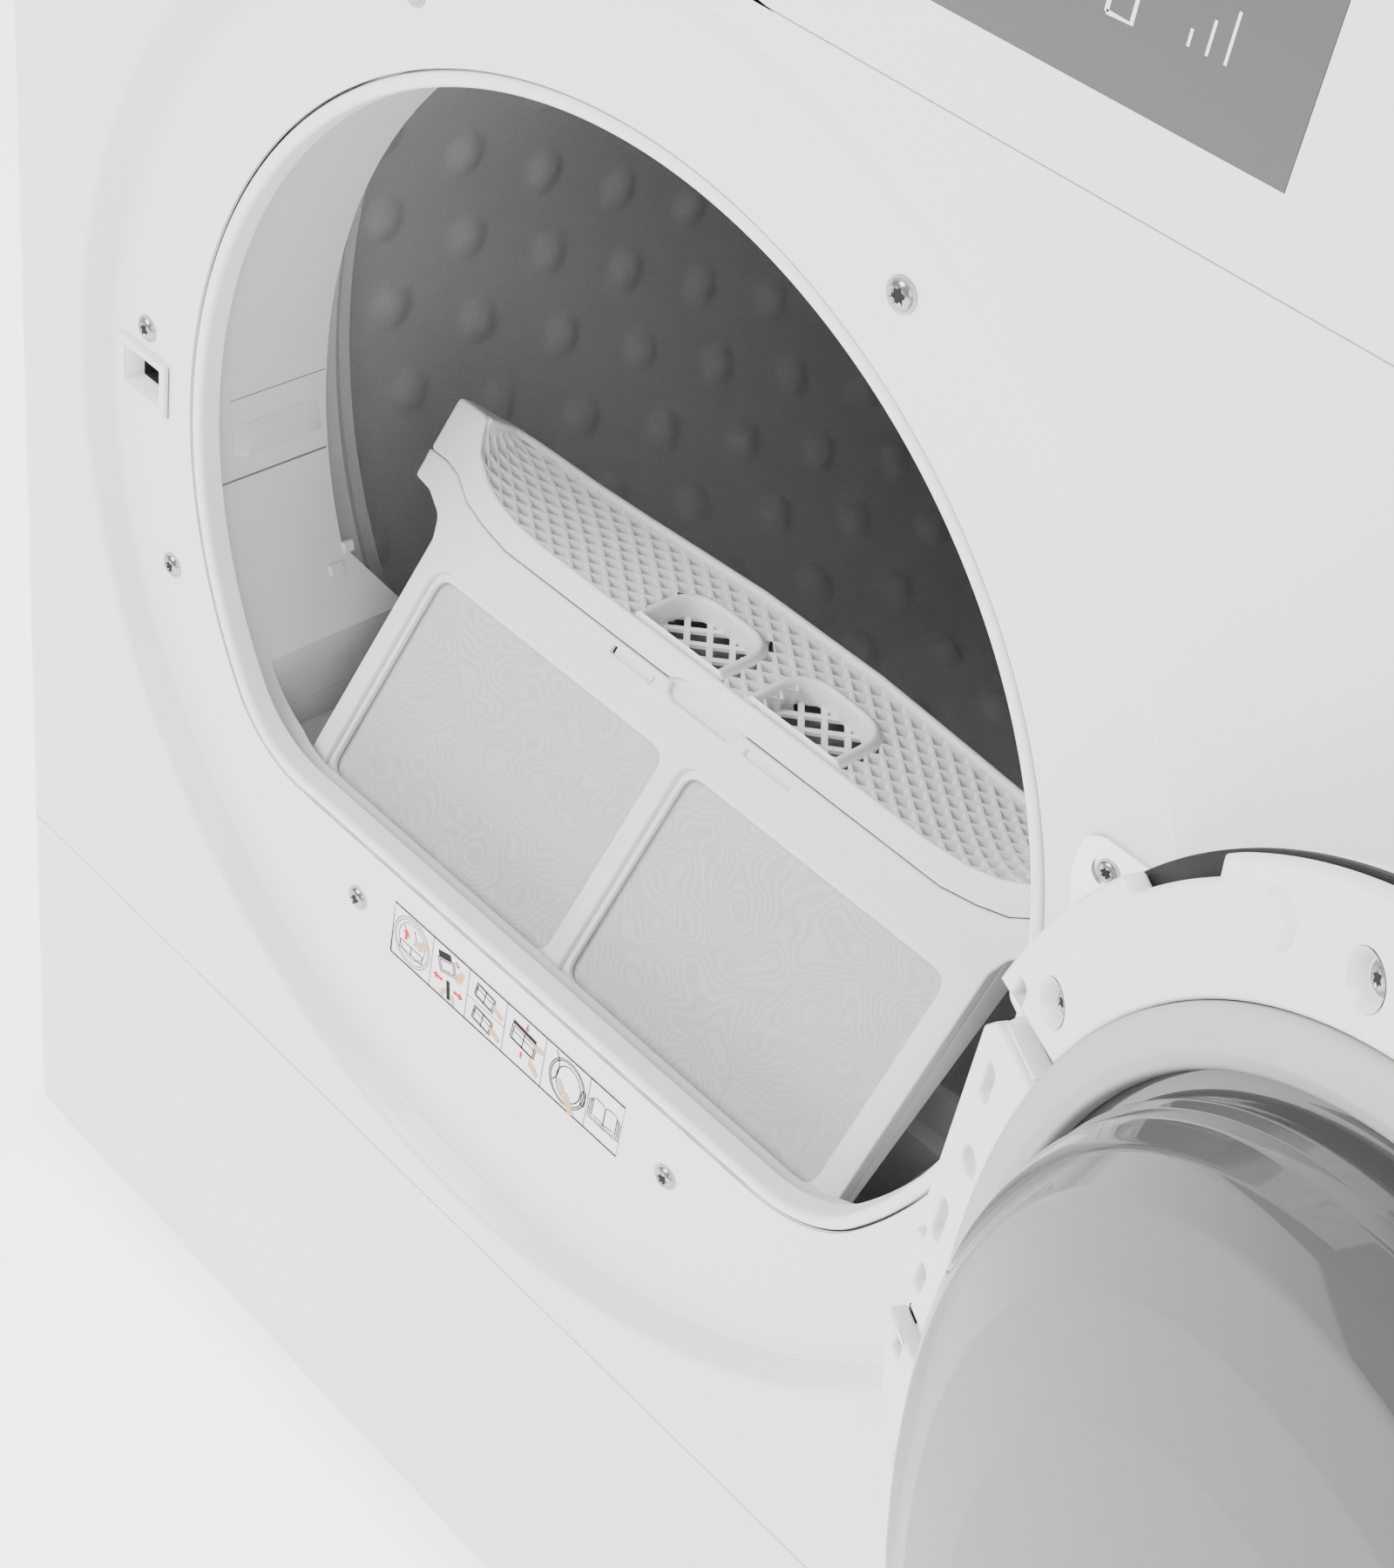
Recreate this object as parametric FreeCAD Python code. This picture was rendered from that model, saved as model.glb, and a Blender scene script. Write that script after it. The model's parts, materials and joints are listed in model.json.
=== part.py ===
"""Front-loading heat-pump clothes dryer, in millimetres.

X points right, Y back and Z up, seen from the front. The origin is on the floor, midway between the
four feet. The dryer stands ready for its lint filter to be cleaned: the door is open and the filter
is lifted out of its slot.
"""
import FreeCAD
import Part
import math
import os

V = FreeCAD.Vector
X_AXIS, Y_AXIS, Z_AXIS = V(1, 0, 0), V(0, 1, 0), V(0, 0, 1)

# Cabinet
WIDTH, DEPTH, HEIGHT = 595.0, 600.0, 850.0
HALF_W, FRONT, REAR = WIDTH / 2, -DEPTH / 2, DEPTH / 2
SHEET = 1.2
EDGE_R = 12.0
FOOT_H = 15.0
SEAM_Z = 204.3
PANEL_TOP_Z = 728.0
FASCIA_TOP_Z = 820.0
GAP = 0.5
RETURN = 20.0

# Porthole, its surround and the tunnel behind it
PORT_Z = 470.0
DISH_R, DISH_DEPTH = 247.0, 12.0
TRIM_R, TRIM_FLOOR, TRIM_FILLET = 199.0, 134.0, 50.0
TRIM_LIP = 5.0
TUNNEL_R, TUNNEL_FLOOR, TUNNEL_FILLET = 200.0, 133.0, 50.0
TUNNEL_START, TUNNEL_END, SLOT_END = 21.5, 75.0, 101.0
WALL = 3.0

# Drum
DRUM_R, DRUM_SHEET = 280.0, 1.0
COLLAR_R = 232.0
COLLAR_START, DRUM_START, DRUM_END = 92.0, 112.0, 486.0
LIFTER_ANGLES = (60.0, 180.0, 300.0)
ROLLER_R, ROLLER_ANGLE = 28.0, 40.0
RUN = 0.05
AIR = 0.3

# Belt drive
BELT_Y, BELT_W, BELT_T = 300.0, 9.0, 2.0
MOTOR_X, MOTOR_Z = 190.0, 108.0
PULLEY_R = 10.0
IDLER_R = 15.0

# Door
HINGE_X, HINGE_Y = 224.0, -14.0
DOOR_OPEN_DEG = 151.0
DOOR_R = 241.0
GASKET_R0, GASKET_R1 = 193.7, 208.6
HINGE_HALF = 60.0
PIN_R = 4.0

# Lint filter, in its own frame: x across, d back from its front face, s up its face
FILTER_Y, FILTER_Z, FILTER_LEAN = 36.0, 339.0, 33.2
FILTER_HALF, FILTER_BOTTOM = 143.2, -22.0
EAR_HALF, EAR_TOP = 165.5, 141.0
WINDOW_HALF, WINDOW_TOP, WINDOW_BOTTOM, BAR_HALF = 134.6, 83.0, -14.0, 3.1
SCOOP_RUN = (46.0, 27.0)

# Top controls
TANK_X0, TANK_X1 = -284.0, -84.0
KNOB_X, KNOB_R = 0.0, 27.0
BUTTON_R = 9.0
BUTTON_XS = {"start_button": 252.0, "option_button": 222.0}
FOOT_X, FOOT_Y, FOOT_R = 250.0, 250.0, 20.0


def depth(distance):
    """Y of a point this far behind the front plane."""
    return FRONT + distance


def box(x0, x1, y0, y1, z0, z1):
    return Part.makeBox(x1 - x0, y1 - y0, z1 - z0, V(x0, y0, z0))


def rod(radius, start, axis, length):
    return Part.makeCylinder(radius, length, start, axis)


def pipe(outer, inner, start, axis, length):
    return rod(outer, start, axis, length).cut(rod(inner, start, axis, length))


def prism(points, direction):
    """Straight-sided solid over a closed outline of points."""
    outline = Part.makePolygon(points + [points[0]])
    return Part.Face(outline).extrude(direction)


def side_prism(points, x0, x1):
    """Solid between two X planes over an outline of (y, z) points."""
    return prism([V(x0, y, z) for y, z in points], V(x1 - x0, 0, 0))


def front_prism(points, y0, y1):
    """Solid between two Y planes over an outline of (x, z) points."""
    return prism([V(x, y0, z) for x, z in points], V(0, y1 - y0, 0))


def turned(points):
    """Ring turned about the porthole's axis from (radius, distance behind the front) points."""
    outline = [V(r, depth(y), PORT_Z) for r, y in points]
    face = Part.Face(Part.makePolygon(outline + [outline[0]]))
    return face.revolve(V(0, 0, PORT_Z), Y_AXIS, 360)


def rounded(solid, axis, radius, keep=None):
    """Fillet the straight edges that run along an axis, all of them or those that keep() picks."""
    edges = []
    for edge in solid.Edges:
        if edge.Curve.TypeId != "Part::GeomLine":
            continue
        along = (edge.Vertexes[1].Point - edge.Vertexes[0].Point).normalize()
        if abs(abs(along.dot(axis)) - 1) < 1e-6 and (keep is None or keep(edge.CenterOfMass)):
            edges.append(edge)
    return solid.makeFillet(radius, edges)


def on_circle(radius, degrees, y):
    """Point on a circle about the porthole's axis; degrees run clockwise from the top."""
    a = math.radians(degrees)
    return V(radius * math.sin(a), y, PORT_Z + radius * math.cos(a))


def porthole(radius, floor, fillet, y0, y1):
    """Round solid with a flat floor and rounded lower corners, between two depths."""
    drop = floor - fillet
    corner_x = math.sqrt((radius - fillet) ** 2 - drop ** 2)
    reach = radius / (radius - fillet)
    y = depth(y0)
    right, left = [V(side * corner_x * reach, y, PORT_Z - drop * reach) for side in (1, -1)]
    top = V(0, y, PORT_Z + radius)
    edges = [Part.Arc(right, top, left).toShape()]
    mid_angle = (math.atan2(drop, corner_x) + math.pi / 2) / 2
    mid_x = corner_x + fillet * math.cos(mid_angle)
    mid_z = PORT_Z - drop - fillet * math.sin(mid_angle)
    floor_z = PORT_Z - floor
    foot_left, foot_right = V(-corner_x, y, floor_z), V(corner_x, y, floor_z)
    edges.append(Part.Arc(left, V(-mid_x, y, mid_z), foot_left).toShape())
    edges.append(Part.LineSegment(foot_left, foot_right).toShape())
    edges.append(Part.Arc(foot_right, V(mid_x, y, mid_z), right).toShape())
    return Part.Face(Part.Wire(edges)).extrude(V(0, y1 - y0, 0))


def loop_face(centre_a, radius_a, centre_b, radius_b, y):
    """Face inside a belt that runs straight between two pulleys."""
    (ax, az), (bx, bz) = centre_a, centre_b
    gap = math.hypot(bx - ax, bz - az)
    heading = math.atan2(bz - az, bx - ax)
    spread = math.acos((radius_a - radius_b) / gap)

    def at(cx, cz, radius, angle):
        return V(cx + radius * math.cos(angle), y, cz + radius * math.sin(angle))

    a1, a2 = at(ax, az, radius_a, heading + spread), at(ax, az, radius_a, heading - spread)
    b1, b2 = at(bx, bz, radius_b, heading + spread), at(bx, bz, radius_b, heading - spread)
    edges = [
        Part.Arc(a1, at(ax, az, radius_a, heading + math.pi), a2).toShape(),
        Part.LineSegment(a2, b2).toShape(),
        Part.Arc(b2, at(bx, bz, radius_b, heading), b1).toShape(),
        Part.LineSegment(b1, a1).toShape(),
    ]
    return Part.Face(Part.Wire(edges))


# ---------------------------------------------------------------- cabinet

def front_shell(z0, z1, corners=0.0):
    """Sheet front with its vertical edges rolled back to meet the side panels."""
    outer = box(-HALF_W, HALF_W, FRONT, depth(RETURN), z0, z1)
    outer = rounded(outer, Z_AXIS, EDGE_R, lambda p: p.y < FRONT + 1)
    inner = box(-HALF_W + SHEET, HALF_W - SHEET, depth(SHEET), depth(RETURN + 1), z0 - 1, z1 + 1)
    inner = rounded(inner, Z_AXIS, EDGE_R - SHEET, lambda p: p.y < depth(SHEET) + 1)
    shell = outer.cut(inner)
    if corners:
        blank = box(-HALF_W, HALF_W, FRONT - 1, depth(RETURN + 1), z0, z1 + corners)
        shell = shell.common(rounded(blank, Y_AXIS, corners, lambda p: p.z < z0 + 1))
    return shell


def dish():
    """Round recess round the porthole: a soft shoulder, a steep wall and a flat surround."""
    front = [(251, 0), (DISH_R, 0), (DISH_R - 1.5, 0.8), (DISH_R - 3.4, DISH_DEPTH - 1.5)]
    front += [(DISH_R - 5, DISH_DEPTH), (0, DISH_DEPTH)]
    back = [(0, DISH_DEPTH + SHEET), (DISH_R - 4.5, DISH_DEPTH + SHEET)]
    back += [(DISH_R - 2.2, DISH_DEPTH), (DISH_R - 0.4, SHEET + 0.6), (251, SHEET)]
    return turned(front + back)


def latch_hole(margin, y0, y1):
    """Space for the door's hook, in the surround and in what lies behind it."""
    return box(-237 - margin, -217 + margin, depth(y0), depth(y1), 457 - margin, 475 + margin)


def screw_points():
    """Where the surround's screws go, and the two that hold the hinge bracket."""
    surround = [(-226, 16), (-208, -80), (-86, -162), (86, -162), (-97, 200), (97, 200)]
    hinge = [(206, 82), (206, -82)]
    return [V(x, 0, PORT_Z + z) for x, z in surround + hinge]


def make_front_panel():
    panel = front_shell(SEAM_Z + GAP, PANEL_TOP_Z - GAP)
    panel = panel.cut(rod(250.5, V(0, FRONT - 1, PORT_Z), Y_AXIS, 5)).fuse(dish())
    panel = panel.cut(porthole(TRIM_R + 0.6, TRIM_FLOOR + 0.6, TRIM_FILLET, 5, 20))
    panel = panel.cut(latch_hole(0.5, 5, 20))
    for point in screw_points():
        panel = panel.cut(rod(2.2, V(point.x, depth(5), point.z), Y_AXIS, 15))
    return panel.removeSplitter()


def make_plinth_panel():
    return front_shell(FOOT_H, SEAM_Z - GAP, EDGE_R)


def make_control_fascia():
    """Moulded bar that holds the water tank, the programme knob, the buttons and the display."""
    z0, z1 = PANEL_TOP_Z, FASCIA_TOP_Z
    outer = box(-HALF_W, HALF_W, FRONT, depth(60), z0, z1)
    outer = rounded(outer, Z_AXIS, EDGE_R, lambda p: p.y < FRONT + 1)
    inner = box(-HALF_W + 2.5, HALF_W - 2.5, depth(2.5), depth(61), z0 + 2.5, z1 - 2.5)
    bar = outer.cut(inner)
    bar = bar.cut(box(TANK_X0 - 1, TANK_X1 + 1, depth(-1), depth(5), z0 + 7, z1 - 7))
    bar = bar.cut(rod(8, V(KNOB_X, depth(-1), (z0 + z1) / 2), Y_AXIS, 5))
    bar = bar.cut(box(62, 196, depth(-1), depth(5), z0 + 22, z1 - 22))
    for x in BUTTON_XS.values():
        bar = bar.cut(rod(BUTTON_R + 0.4, V(x, depth(-1), (z0 + z1) / 2), Y_AXIS, 5))
    return bar


def make_display_window():
    z0, z1 = PANEL_TOP_Z + 22, FASCIA_TOP_Z - 22
    pane = box(62.2, 195.8, depth(0), depth(3), z0 + 0.2, z1 - 0.2)
    return pane.fuse(box(58, 200, depth(2.5), depth(4.5), z0 - 4, z1 + 4)).removeSplitter()


def make_top_panel():
    top = box(-HALF_W, HALF_W, FRONT, REAR, FASCIA_TOP_Z + GAP, HEIGHT)
    top = rounded(top, Z_AXIS, EDGE_R, lambda p: p.y < FRONT + 1)
    hollow = box(-HALF_W + 3, HALF_W - 3, FRONT + 3, REAR - 3, FASCIA_TOP_Z - 1, HEIGHT - 16)
    return top.cut(hollow)


def side_panel(side):
    """Flat steel side with its front and rear edges folded in."""
    y0, y1 = depth(RETURN + GAP), REAR
    z0, z1 = 35.0, FASCIA_TOP_Z
    outside, inside = side * HALF_W, side * (HALF_W - 1)
    lip = side * (HALF_W - 12)
    sheet = box(min(outside, inside), max(outside, inside), y0, y1, z0, z1)
    front_lip = box(min(outside, lip), max(outside, lip), y0, y0 + 1, z0, PANEL_TOP_Z)
    rear_lip = box(min(outside, lip), max(outside, lip), y1 - 2, y1 - 1, z0, z1)
    left, right = min(outside, lip) - 1, max(outside, lip) + 1
    notch = box(left, right, y0 - 1, depth(60) + GAP, PANEL_TOP_Z - 1, z1 + 1)
    return sheet.fuse(front_lip).fuse(rear_lip).cut(notch).removeSplitter()


def make_rear_panel():
    """Steel back with louvres, the mains inlet's opening and the drain's opening."""
    panel = box(-HALF_W + 13, HALF_W - 13, REAR - 1, REAR, 62, FASCIA_TOP_Z)
    panel = panel.cut(rod(14, V(-230, REAR - 2, 90), Y_AXIS, 4))
    panel = panel.cut(box(198, 232, REAR - 2, REAR + 1, 738, 766))
    for i in range(9):
        panel = panel.cut(box(60, 250, REAR - 2, REAR + 1, 110 + 14 * i, 116 + 14 * i))
    return panel


def make_base_tray():
    """Moulded floor pan, with a wall all round, foot bosses and the drain spigot at its back."""
    half = HALF_W - 2.5
    outer = box(-half, half, depth(RETURN + 2), REAR - 2, FOOT_H, 62)
    tray = outer.cut(box(-half + 3, half - 3, depth(RETURN + 5), REAR - 5, FOOT_H + 3, 63))
    for x, y in foot_places():
        tray = tray.fuse(rod(14, V(x, y, FOOT_H), Z_AXIS, 30))
    for x, y in foot_places():
        tray = tray.cut(rod(5 + RUN, V(x, y, 0), Z_AXIS, 60))
    spigot = pipe(8, 6, V(-230, REAR - 4, 48), Y_AXIS, 30)
    bore = rod(6, V(-230, REAR - 10, 48), Y_AXIS, 20)
    return tray.fuse(spigot).cut(bore).removeSplitter()


def foot_places():
    return [(sx * FOOT_X, sy * FOOT_Y) for sy in (-1, 1) for sx in (-1, 1)]


def make_foot(x, y):
    """Levelling foot: a round pad, a spanner collar and a threaded stem."""
    pad = rod(FOOT_R, V(x, y, 0), Z_AXIS, 9)
    collar = Part.makeCylinder(11, 5, V(x, y, 9), Z_AXIS)
    return pad.fuse(collar).fuse(rod(5, V(x, y, 12), Z_AXIS, 30)).removeSplitter()


# ---------------------------------------------------------------- porthole

def make_porthole_trim():
    """Rounded lip round the opening, running back to the tunnel."""
    y0, y1 = DISH_DEPTH, TUNNEL_START - 0.5
    lip = porthole(TRIM_R, TRIM_FLOOR, TRIM_FILLET, y0, y1)
    fillet = TRIM_FILLET - TRIM_LIP
    hole = porthole(TRIM_R - TRIM_LIP, TRIM_FLOOR - TRIM_LIP, fillet, y0 - 1, y1 + 1)
    lip = lip.cut(hole)
    front = [e for e in lip.Edges if abs(e.CenterOfMass.y - depth(y0)) < 0.01]
    return lip.makeFillet(2.2, front)


def filter_way():
    """Space that the lint filter needs as it swings down into its slot."""
    body = [(31.5, 345), (17.0, 312), (16.4, 240), (22, 202), (24, 140), (41, 140), (47, 208), (97, 345)]
    low = side_prism([(depth(y), z) for y, z in body], -147, 147)
    head = box(-168, 168, depth(30), depth(96.3), 321, 364.5)
    return low.fuse(head)


def make_front_bulkhead():
    """Tunnel behind the porthole, with the flange and ring that carry the drum's front seal."""
    radius, floor, fillet = TUNNEL_R + WALL, TUNNEL_FLOOR + WALL, TUNNEL_FILLET + WALL
    tunnel = porthole(radius, floor, fillet, TUNNEL_START, SLOT_END)
    tunnel = tunnel.fuse(box(-171, 171, depth(TUNNEL_START), depth(98.5), 334, 364))
    flange = box(-290, 290, depth(75), depth(78), 214, PANEL_TOP_Z - 2)
    ring = pipe(COLLAR_R - 3.5, COLLAR_R - 6.5, V(0, depth(75), PORT_Z), Y_AXIS, 25)
    body = tunnel.fuse(flange).fuse(ring)
    body = body.cut(porthole(TUNNEL_R, TUNNEL_FLOOR, TUNNEL_FILLET, TUNNEL_START - 1, SLOT_END + 1))
    taper = [(TUNNEL_END, 700), (125, 700), (125, 362), (97, 362), (TUNNEL_END, 390)]
    body = body.cut(side_prism([(depth(y), z) for y, z in taper], -212, 212).common(
        rod(COLLAR_R - 8, V(0, depth(TUNNEL_END), PORT_Z), Y_AXIS, 60)))
    body = body.cut(rod(TUNNEL_R, V(0, depth(74), PORT_Z), Y_AXIS, 4).cut(
        box(-300, 300, depth(70), depth(80), 0, 390)))
    body = body.cut(filter_way())
    body = body.cut(box(-172, 172, depth(60), depth(79), 240, 334))
    body = body.cut(box(-151, 151, depth(60), depth(99), 240, 334))
    for side in (1, -1):
        axle = on_circle(COLLAR_R + 1 + AIR + ROLLER_R, 180 + side * ROLLER_ANGLE, depth(78))
        body = body.fuse(rod(6, axle, Y_AXIS, 34))
    return body.removeSplitter()


def make_filter_duct():
    """Tapered duct that the lint filter hangs in, open at the top and the bottom."""
    outer = [(15.0, 334), (14.0, 240), (18.5, 200), (20.5, 180), (45.5, 180), (51, 208), (97.5, 334)]
    body = side_prism([(depth(y), z) for y, z in outer], -150, 150)
    head = box(-171, 171, depth(21.6), depth(98.5), 318, 333.8)
    head = head.common(rod(COLLAR_R - 7, V(0, FRONT, PORT_Z), Y_AXIS, 200).fuse(
        box(-171, 171, FRONT, depth(74.5), 300, 340)))
    return body.fuse(head).cut(filter_way()).removeSplitter()


def make_front_felt_seal():
    return pipe(COLLAR_R - AIR, COLLAR_R - 3.5, V(0, depth(90), PORT_Z), Y_AXIS, 14)


def make_surround_screws():
    """Pan-head screws with a star recess, one solid each."""
    screws = []
    for point in screw_points():
        height = 1.1 if point.x > 200 else 1.8
        head = rod(4.8, V(point.x, depth(10.2), point.z), Y_AXIS, height)
        head = head.makeFillet(0.9, [e for e in head.Edges if abs(e.CenterOfMass.y - depth(10.2)) < 0.01])
        shank = rod(2.0, V(point.x, depth(11), point.z), Y_AXIS, 2.8)
        recess = rod(1.5, V(point.x, depth(9), point.z), Y_AXIS, 1.9)
        screws.append(head.fuse(shank).cut(recess).removeSplitter())
    return Part.makeCompound(screws)


def make_instruction_label():
    """Thin pictogram label under the opening."""
    return box(-65, 63, depth(11.8), depth(12), PORT_Z - 173.5, PORT_Z - 146.5)


def make_latch_bezel():
    """Raised frame round the latch's opening, with a funnel behind it."""
    frame = box(-241.3, -212.7, depth(10.6), depth(12), 455, 477)
    frame = frame.fuse(box(-237.3, -216.7, depth(11), depth(26), 456.7, 475.3))
    funnel = box(-235.5, -218.5, depth(5), depth(30), 458.5, 473.5)
    return frame.cut(funnel).removeSplitter()


def make_door_lock():
    """Lock case behind the surround, with the catch that holds the door's hook."""
    case = box(-262, -215, depth(26.5), depth(52), 440, 492)
    case = case.cut(box(-236, -218, depth(26), depth(46), 458, 474))
    return case.fuse(box(-244, -237.5, depth(20), depth(27), 445, 455)).removeSplitter()


def make_hinge_bracket():
    """Pressed plate on the surround, with two ears that carry the hinge pin."""
    plate = box(196, 226, depth(DISH_DEPTH - 1.5), depth(DISH_DEPTH), PORT_Z - 92, PORT_Z + 92)
    plate = rounded(plate, Y_AXIS, 8)
    plate = plate.cut(rod(GASKET_R1 + 1, V(0, FRONT, PORT_Z), Y_AXIS, 30))
    for side in (1, -1):
        z = PORT_Z + side * (HINGE_HALF + 2.5)
        z0 = min(z, z + side * 3)
        ear = box(HINGE_X - 8, HINGE_X + 2, depth(HINGE_Y), depth(DISH_DEPTH - 1), z0, z0 + 3)
        ear = ear.fuse(rod(8, V(HINGE_X, depth(HINGE_Y), z0), Z_AXIS, 3))
        plate = plate.fuse(ear)
    plate = plate.cut(rod(PIN_R, V(HINGE_X, depth(HINGE_Y), PORT_Z - 100), Z_AXIS, 200))
    for point in screw_points():
        plate = plate.cut(rod(2.2, V(point.x, depth(5), point.z), Y_AXIS, 15))
        plate = plate.cut(rod(4.9, V(point.x, depth(5), point.z), Y_AXIS, 6.3))
    return plate.removeSplitter()


def make_hinge_pin():
    pin = rod(PIN_R, V(HINGE_X, depth(HINGE_Y), PORT_Z - 67), Z_AXIS, 134)
    return pin.fuse(rod(PIN_R + 2, V(HINGE_X, depth(HINGE_Y), PORT_Z + 65.5), Z_AXIS, 2)).removeSplitter()


# ---------------------------------------------------------------- drum and drive

def make_drum_shell():
    """Rolled steel wall with its front flange and the collar that rides on the felt."""
    length = DRUM_END - DRUM_START
    wall = pipe(DRUM_R + DRUM_SHEET, DRUM_R, V(0, depth(DRUM_START), PORT_Z), Y_AXIS, length)
    flange = pipe(DRUM_R + DRUM_SHEET, COLLAR_R, V(0, depth(DRUM_START), PORT_Z), Y_AXIS, DRUM_SHEET)
    collar_length = DRUM_START + DRUM_SHEET - COLLAR_START
    collar = pipe(COLLAR_R + 1, COLLAR_R, V(0, depth(COLLAR_START), PORT_Z), Y_AXIS, collar_length)
    return wall.fuse(flange).fuse(collar).removeSplitter()


def make_drum_rear_wall():
    """Perforated disc that closes the drum, with its hub and the shaft it turns on."""
    disc = rod(DRUM_R + DRUM_SHEET, V(0, depth(DRUM_END), PORT_Z), Y_AXIS, 1.5)
    for ring_r, count in ((120, 20), (165, 28), (210, 36)):
        for k in range(count):
            hole = on_circle(ring_r, 360.0 * k / count, depth(DRUM_END - 1))
            disc = disc.cut(rod(8, hole, Y_AXIS, 4))
    hub = rod(45, V(0, depth(DRUM_END + 1), PORT_Z), Y_AXIS, 10)
    shaft = rod(9, V(0, depth(DRUM_END + 1), PORT_Z), Y_AXIS, 40)
    return disc.fuse(hub).fuse(shaft).removeSplitter()


def make_drum_lifters():
    """Three vanes along the drum's wall, tapered towards their tips."""
    vanes = []
    for degrees in LIFTER_ANGLES:
        foot, tip = 48.0, 16.0
        low, high = PORT_Z + DRUM_R - 48, PORT_Z + DRUM_R - 4
        outline = [(-foot / 2, high), (-tip / 2, low), (tip / 2, low), (foot / 2, high)]
        vane = front_prism(outline, depth(150), depth(470))
        vane = rounded(vane, Y_AXIS, 6, lambda p: p.z < PORT_Z + DRUM_R - 30)
        foot_strip = box(-foot / 2, foot / 2, depth(150), depth(470), high - 2, high + 9)
        vane = vane.fuse(foot_strip).common(rod(DRUM_R, V(0, FRONT, PORT_Z), Y_AXIS, DEPTH))
        vane.rotate(V(0, 0, PORT_Z), Y_AXIS, degrees)
        vanes.append(vane.removeSplitter())
    return Part.makeCompound(vanes)


def make_drum_belt():
    start = depth(BELT_Y - BELT_W / 2)
    drum, motor = (0, PORT_Z), (MOTOR_X, MOTOR_Z)
    inner_drum, inner_pulley = DRUM_R + DRUM_SHEET + AIR, PULLEY_R + AIR
    outer = loop_face(drum, inner_drum + BELT_T, motor, inner_pulley + BELT_T, start)
    inner = loop_face(drum, inner_drum, motor, inner_pulley, start)
    return outer.cut(inner).extrude(V(0, BELT_W, 0))


def make_motor():
    """Drive motor in its cradle, with a bore right through for the shaft."""
    body = rod(60, V(MOTOR_X, depth(325), MOTOR_Z), Y_AXIS, 120)
    body = body.fuse(rod(30, V(MOTOR_X, depth(315), MOTOR_Z), Y_AXIS, 140))
    body = body.fuse(box(MOTOR_X - 50, MOTOR_X + 50, depth(345), depth(425), 18, MOTOR_Z - 30))
    return body.cut(rod(6 + RUN, V(MOTOR_X, depth(300), MOTOR_Z), Y_AXIS, 200)).removeSplitter()


def make_motor_shaft():
    """Shaft with its belt pulley at the front end."""
    shaft = rod(6, V(MOTOR_X, depth(291), MOTOR_Z), Y_AXIS, 218)
    groove = pipe(PULLEY_R, 6, V(MOTOR_X, depth(294), MOTOR_Z), Y_AXIS, 12)
    rims = pipe(PULLEY_R + 3.5, 6, V(MOTOR_X, depth(292), MOTOR_Z), Y_AXIS, 2)
    rims = rims.fuse(pipe(PULLEY_R + 3.5, 6, V(MOTOR_X, depth(306), MOTOR_Z), Y_AXIS, 2))
    return shaft.fuse(groove).fuse(rims).removeSplitter()


def make_fan_impeller():
    """Process-air wheel: a back plate, a hub and straight blades."""
    y0 = depth(470)
    wheel = rod(52, V(MOTOR_X, y0 + 36, MOTOR_Z), Y_AXIS, 3)
    wheel = wheel.fuse(rod(14, V(MOTOR_X, y0, MOTOR_Z), Y_AXIS, 38))
    for k in range(18):
        blade = box(34, 51, y0, y0 + 37, -0.8, 0.8)
        blade.rotate(V(0, 0, 0), Y_AXIS, 20.0 * k)
        blade.translate(V(MOTOR_X, 0, MOTOR_Z))
        wheel = wheel.fuse(blade)
    return wheel.cut(rod(6, V(MOTOR_X, y0 - 1, MOTOR_Z), Y_AXIS, 60)).removeSplitter()


def make_fan_housing():
    """Scroll case round the impeller, open at its inlet and at its outlet on top."""
    z1 = 192
    outer = rod(62, V(MOTOR_X, depth(462), MOTOR_Z), Y_AXIS, 56).fuse(
        box(MOTOR_X, MOTOR_X + 62, depth(462), depth(518), MOTOR_Z, z1))
    inner = rod(58, V(MOTOR_X, depth(465), MOTOR_Z), Y_AXIS, 50).fuse(
        box(MOTOR_X + 20, MOTOR_X + 58, depth(465), depth(515), MOTOR_Z, z1 + 1))
    case = outer.cut(inner).cut(rod(30, V(MOTOR_X, depth(450), MOTOR_Z), Y_AXIS, 20))
    feet = box(MOTOR_X - 40, MOTOR_X + 40, depth(470), depth(510), 18, MOTOR_Z - 57)
    return case.fuse(feet.cut(rod(60, V(MOTOR_X, depth(450), MOTOR_Z), Y_AXIS, 90))).removeSplitter()


def idler_centre():
    """Just outside the belt's straight run, a little above the motor."""
    ax, az, bx, bz = 0, PORT_Z, MOTOR_X, MOTOR_Z
    heading = math.atan2(bz - az, bx - ax)
    drum_r, pulley_r = DRUM_R + DRUM_SHEET + AIR + BELT_T, PULLEY_R + AIR + BELT_T
    spread = math.acos((drum_r - pulley_r) / math.hypot(bx - ax, bz - az))
    normal = heading - spread
    along = normal + math.pi / 2
    reach = pulley_r + AIR + IDLER_R
    x = bx + reach * math.cos(normal) - 60 * math.cos(along)
    z = bz + reach * math.sin(normal) - 60 * math.sin(along)
    return x, z


def make_belt_idler():
    x, z = idler_centre()
    return pipe(IDLER_R, 5 + RUN, V(x, depth(BELT_Y - 7), z), Y_AXIS, 14)


def make_tension_arm():
    """Arm from the tray that holds the idler's axle against the belt."""
    x, z = idler_centre()
    axle = rod(5, V(x, depth(BELT_Y - 9), z), Y_AXIS, 24)
    arm = box(x - 10, x + 10, depth(BELT_Y + 9), depth(BELT_Y + 15), 18, z + 8)
    foot = box(x - 16, x + 16, depth(BELT_Y + 6), depth(BELT_Y + 26), 18, 22)
    return axle.fuse(arm).fuse(foot).removeSplitter()


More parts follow.
